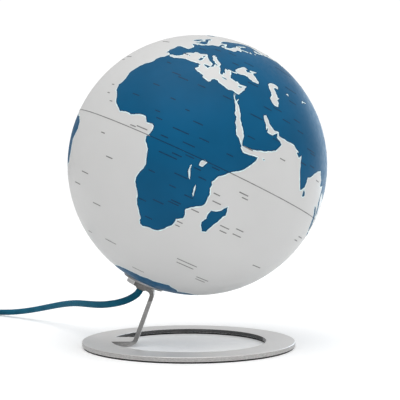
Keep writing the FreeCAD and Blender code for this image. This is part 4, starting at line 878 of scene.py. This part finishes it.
# Short bars in place of names, each a longitude and a latitude in degrees and a length in millimetres.
SEA_BARS = """
-14,-6,5 -7,-14,8 -22,-24,11 -23,10,4 -24,14,4 -18,7,4 -1,1,6 2,1.6,11 44,11.5,9 61,14,6 -12,-35,10
-6,-51,13 -28,-52,7 42,-42.5,20 43,-44.5,17 60,-48,14 61,-49.5,11 50,-20,9 51,-22,7 57,-18.5,8
57,-21,9 42,-12.5,8 36,-19,7 41,-9.6,6 50,-5,9 52,-6.4,6 33,-26,5 33,-27.8,4 16,-62,12
-40,30,14 -42,28,10 -30,45,12 -60,22,9 -150,20,16 -148,17,11 -170,-10,14 -120,-25,15 -118,-28,10
170,35,14 165,10,12 150,-35,10 95,-10,13 93,-12,9 80,-30,14 110,-45,12 -100,5,9 -90,-40,12
20,75,10 100,78,12 -140,74,9 -30,-30,12 -75,-55,8 135,18,8 88,14,7
"""
LAND_BARS = """
9,17,5 6,10,5 17,15,4 16,6.5,15 15,-4,17 20,-2.4,9 14,-12,6 27,7,9 39,6,6 25,-1,8 14,-24,7 20,-22,10
27,-19,9 24,-14,6 33,-6.5,7 2,28,9 16,27,7 28,27,8 42,25,12 44,16,7 52,33,9 36,39,10 -5,32,5
-3,40,6 1,47,7 9,50.5,6 18,52,7 24,46,6 30,50,9 14,62,7 55,60,20 60,48,14 62,41,9 65,33,8 76,24,13
80,18,8 96,60,22 104,46,14 98,35,18 103,30,11 101,15,5 113,0,7 122,64,15 134,-24,17 136,-27,11
-104,40,18 -101,37,12 -108,57,18 -152,64,9 -103,24,9 -58,-8,16 -56,-11,10 -66,-34,9 -76,-10,5 -72,4,6
-45,72,12 22,12,9 8,7.5,6 -8,13,8 -2,20,7 6,27,10 13,2,7 22,3,11 30,-4,6 36,-1,7 24,-9,12
31,-15,8 26,-20,10 19,-30,7 47,31,8 58,30,9 55,20,7 68,29,8 73,17,8 79,23,9 -70,-80,9 60,-78,14 150,-76,12
"""
EQUATOR_WIDTH = 0.75 * MM
EQUATOR_STEP = 1.5  # degrees
BAR_WIDTH = 0.95 * MM
SHORE_DARK = (-0.85 * MM, -0.05 * MM)  # across the shore, inwards: from one side of the line to the other
SHORE_PALE = (0.0, 0.85 * MM)


class Print:
    """Printed lines on the ball: thin closed bands, in one mesh."""

    def __init__(self, lift):
        self.lift = lift
        self.points = []
        self.faces = []

    def band(self, rows, closed=False):
        """A band through rows of two directions from the ball's centre, one for each of its edges."""
        start = len(self.points)
        outer = BALL_RADIUS + self.lift
        inner = BALL_RADIUS - PRINT_SUNK
        for left, right in rows:
            for direction, reach in ((left, outer), (right, outer), (right, inner), (left, inner)):
                self.points.append(BALL_CENTRE + direction.normalized() * reach)
        count = len(rows)
        for k in range(count if closed else count - 1):
            here = start + 4 * k
            there = start + 4 * ((k + 1) % count)
            for j in range(4):
                nxt = (j + 1) % 4
                self.faces.append((here + j, here + nxt, there + nxt, there + j))
        if not closed:
            last = start + 4 * (count - 1)
            self.faces.append((start + 3, start + 2, start + 1, start))
            self.faces.append((last, last + 1, last + 2, last + 3))

    def parallel(self, lon, lat, length, width):
        """A band along a parallel, of a length and a width in metres."""
        half = math.degrees(width / 2 / BALL_RADIUS)
        span = math.degrees(length / BALL_RADIUS / math.cos(math.radians(lat)))
        steps = max(2, math.ceil(span / 2))
        places = [lon + span * k / steps for k in range(steps + 1)]
        self.band([[on_ball(x, lat + side, 1) - BALL_CENTRE for side in (half, -half)] for x in places])

    def shore(self, walked, across):
        """A closed band along a shore; outwards is away from what the shore encloses."""
        mean = sum(lat for lon, lat in walked) / len(walked)
        pole = 1 if mean > 0 else -1
        flat = [flat_place(lon, lat, pole) for lon, lat in walked]
        area = sum(a.x * b.y - b.x * a.y for a, b in zip(flat, flat[1:] + flat[:1]))
        turn = math.copysign(1, area) * pole
        spine = [(on_ball(lon, lat, 1) - BALL_CENTRE).normalized() for lon, lat in walked]
        rows = []
        for k, here in enumerate(spine):
            along = (spine[(k + 1) % len(spine)] - spine[k - 1]).normalized()
            outwards = along.cross(here) * turn
            rows.append([here + outwards * (reach / BALL_RADIUS) for reach in across])
        self.band(rows, closed=True)

    def piece(self, name, look):
        made = piece_from(name, self.points, self.faces, "ball", "shell_plastic", look, smooth=False)
        bm = bmesh.new()
        bm.from_mesh(made.data)
        bmesh.ops.recalc_face_normals(bm, faces=bm.faces)
        bm.to_mesh(made.data)
        bm.free()


def ink_look(name, colour):
    look = Look(name, colour, 0.45, Specular_IOR_Level=0.2)
    look.mottle(260, 0.22)
    return look.rough(look.noise(300, 2), 0.4, 0.55).material


def print_marks(shores):
    """Bars, the equator and the lines along the shores, in four inks."""
    grey = Print(PRINT)
    blue = Print(PRINT)
    for ink, text in ((grey, SEA_BARS), (blue, LAND_BARS)):
        for bar in text.split():
            lon, lat, bar_length = (float(number) for number in bar.split(","))
            ink.parallel(lon, lat, bar_length * MM, BAR_WIDTH)
    outlines = [Outline(walked, 1) for key, walked in shores.items() if key != "antarctica"]
    length = math.radians(EQUATOR_STEP) * BALL_RADIUS
    for k in range(round(360 / EQUATOR_STEP)):
        lon = k * EQUATOR_STEP
        middle = flat_place(lon + EQUATOR_STEP / 2, 0.1, 1)
        land = sum(outline.holds(middle) for outline in outlines) % 2
        (blue if land else grey).parallel(lon, 0, length, EQUATOR_WIDTH)
    grey.piece("sea_marks", ink_look("grey_ink", (0.22, 0.22, 0.22)))
    blue.piece("land_marks", ink_look("dark_blue_ink", (0.001, 0.040, 0.095)))
    dark = Print(FRINGE)
    pale = Print(FRINGE)
    for name, walked in shores.items():
        land_inside = name in LAND
        for ink, across in ((dark, SHORE_DARK), (pale, SHORE_PALE)):
            ink.shore(walked, across if land_inside else (-across[1], -across[0]))
    dark.piece("shore_line", ink_look("shore_ink", (0.001, 0.052, 0.125)))
    pale.piece("shore_fringe", ink_look("fringe_ink", (0.66, 0.82, 0.90)))


def make_ball():
    shores = {}
    for name, text in {**LAND, **WATER}.items():
        shores[name] = split_at_equator(shore(text))
    map_half("map_north", "north_shell", 1, shores, 0.0)
    map_half("map_south", "south_shell", -1, shores, POLE_HOLE)
    print_marks(shores)


# ---------------------------------------------------------------- the other pieces' materials


def dress(look, *names):
    """Give CAD nodes their material."""
    for name in names:
        for slot in nodes[name].material_slots:
            slot.material = look.material


def metal(name, colour, roughness, grain=900, depth=0.03, **settings):
    """Plain metal with a fine grain and a little variation in its polish."""
    look = Look(name, colour, roughness, Metallic=1.0, **settings)
    look.mottle(40, 0.05)
    look.rough(look.noise(180, 3), roughness * 0.85, roughness * 1.2)
    return look.bump(look.noise(grain, 3), 0.15, depth * MM)


def plastic(name, colour, roughness, grain=1500, depth=0.04, vary=0.05, **settings):
    """Moulded plastic with a fine texture."""
    look = Look(name, colour, roughness, **settings)
    look.mottle(60, vary)
    look.rough(look.noise(240, 3), roughness * 0.88, roughness * 1.12)
    return look.bump(look.noise(grain, 3), 0.25, depth * MM)


def brushed(name, colour, roughness, stretch):
    """Metal with fine lines along one direction."""
    look = Look(name, colour, roughness, Metallic=1.0)
    lines = look.noise(1, 4, place=look.stretched(stretch))
    look.mottle(30, 0.04)
    look.rough(lines, roughness * 0.8, roughness * 1.25)
    return look.bump(lines, 0.12, 0.02 * MM)


# The stand's metal is one colour all over: STAND_FACE. The next four colours are painted shade: on the ring's
# edges, on the faces turned to the front and back, darker on those faces above FLANGE_FROM under the ball,
# and darkest on the ring's inner edge.
STAND_FACE = (0.84, 0.83, 0.82)
STAND_EDGE_SHADE = (0.50, 0.49, 0.48)
STAND_SIDE_SHADE = (0.33, 0.325, 0.32)
STAND_FLANGE_SHADE = (0.20, 0.195, 0.19)
STAND_BORE_SHADE = (0.14, 0.14, 0.14)
RING_TOP_AT = 5.2 * MM  # between the middle of the ring's edge and its top face
FLANGE_FROM = 44 * MM  # above the table
STRIP_HALF = 15.6 * MM  # across, of the bent strip with a little to spare
RING_MIDDLE = -8.4 * MM  # along X
BORE_WITHIN = 85 * MM  # of the ring's middle


def stand_look():
    """Satin sheet metal: bright rolled faces, with painted shade on the rest: greyer cut edges with fine
    lines, and a dark inner edge.
    """
    look = Look("stand_metal", STAND_FACE, 0.4, Metallic=0.9)
    facing = look.node("ShaderNodeSeparateXYZ")
    look.link(look.node("ShaderNodeNewGeometry").outputs["Normal"], facing.inputs["Vector"])
    place = look.node("ShaderNodeSeparateXYZ")
    look.link(look.place, place.inputs["Vector"])
    sideways = look.maths("GREATER_THAN", look.maths("ABSOLUTE", facing.outputs["Y"]), 0.9)
    upright = look.maths("LESS_THAN", look.maths("ABSOLUTE", facing.outputs["Z"]), 0.45)
    low = look.maths("LESS_THAN", place.outputs["Z"], RING_TOP_AT)
    ring_edge = look.maths("MULTIPLY", upright, low)
    from_middle = look.maths("SUBTRACT", place.outputs["X"], RING_MIDDLE)
    reach = look.maths("ADD", look.maths("MULTIPLY", from_middle, from_middle),
                       look.maths("MULTIPLY", place.outputs["Y"], place.outputs["Y"]))
    within = look.maths("MULTIPLY", ring_edge, look.maths("LESS_THAN", reach, BORE_WITHIN**2))
    across = look.maths("ABSOLUTE", place.outputs["Y"])
    bore = look.maths("MULTIPLY", within, look.maths("GREATER_THAN", across, STRIP_HALF))
    high = look.maths("MULTIPLY", sideways, look.maths("GREATER_THAN", place.outputs["Z"], FLANGE_FROM))
    cloud = look.spread(look.noise(9, 2), 0.3, 0.7, 0, 1)
    face = look.blend(cloud, tuple(c * 0.95 for c in STAND_FACE), tuple(c * 1.05 for c in STAND_FACE))
    cut_lines = look.noise(1, 3, place=look.stretched((500, 500, 2600)))
    lines = look.spread(cut_lines, 0.3, 0.7, 0, 1)
    # Painted shade: these masks darken the sides, the flange's sides, the ring's edges and the ring's inner
    # edge.
    for mask, colour in ((sideways, STAND_SIDE_SHADE), (high, STAND_FLANGE_SHADE), (ring_edge, STAND_EDGE_SHADE),
                         (bore, STAND_BORE_SHADE)):
        cut = look.blend(lines, tuple(c * 0.8 for c in colour), tuple(c * 1.2 for c in colour))
        face = look.blend(mask, face, cut)
    look.paint(face)
    look.rough(look.noise(160, 3), 0.36, 0.46)
    look.bump(look.noise(2600, 3), 0.12, 0.03 * MM)
    return look


def dress_nodes():
    dress(stand_look(), "stand_plate")
    dress(plastic("foot_rubber", (0.02, 0.02, 0.02), 0.75, 900, 0.08), "foot_ring")
    dress(brushed("collar_metal", (0.38, 0.385, 0.39), 0.42, (300, 300, 2600)), "pole_collar")
    dress(plastic("nylon", (0.72, 0.71, 0.66), 0.5, Subsurface_Weight=0.1), "bearing_washer", "lead_grips")
    dress(metal("zinc_steel", (0.56, 0.57, 0.58), 0.34), "threaded_tube", "stop_washer", "stop_nut",
          "collar_screws", "switch_pin", "switch_screws")
    dress(plastic("bush_plastic", (0.16, 0.17, 0.165), 0.5), "cable_bush")
    dress(plastic("inner_sleeve", (0.004, 0.09, 0.15), 0.8, 5000, 0.15, 0.3), "inner_lead")
    dress(plastic("holder_plastic", (0.035, 0.035, 0.037), 0.42), "holder_cap", "holder_sleeve",
          "bulb_insulator")
    dress(plastic("ceramic", (0.80, 0.77, 0.71), 0.6, 700, 0.08), "holder_core")
    dress(metal("brass", (0.72, 0.52, 0.22), 0.3), "screw_contact", "centre_contact", "terminal_screws",
          "bulb_tip", "switch_contacts")
    dress(metal("nickel", (0.66, 0.64, 0.60), 0.2, depth=0.015), "bulb_cap", "plug_prongs")
    dress(plastic("brown_insulation", (0.10, 0.035, 0.012), 0.4), "live_wire")
    dress(plastic("blue_insulation", (0.012, 0.08, 0.36), 0.4), "neutral_wire")
    dress(plastic("bulb_plastic", (0.80, 0.80, 0.78), 0.38), "bulb_housing")
    dress(plastic("solder_mask", (0.78, 0.79, 0.78), 0.35, vary=0.08), "bulb_board")
    dress(plastic("phosphor", (0.86, 0.66, 0.10), 0.5, 3000, 0.05, 0.15), "light_chips")
    dress(plastic("frosted_cover", (0.90, 0.90, 0.88), 0.55, 1800, 0.05, 0.02, Subsurface_Weight=0.2),
          "bulb_globe")
    dress(plastic("natural_plastic", (0.66, 0.66, 0.63), 0.5), "joining_band", "clamp_ring")
    dress(plastic("tie_plastic", (0.025, 0.025, 0.028), 0.45, 1200, 0.1), "coil_tie")
    dress(plastic("white_plastic", (0.76, 0.76, 0.74), 0.42, 1600, 0.06, 0.03), "switch_base",
          "switch_cover", "plug_body")
    dress(plastic("rocker_plastic", (0.70, 0.70, 0.68), 0.28, 1400, 0.02, 0.03), "switch_rocker")
    dress(plastic("sleeve_plastic", (0.03, 0.03, 0.032), 0.4), "prong_sleeves")


make_studio()
make_leads()
make_ball()
dress_nodes()
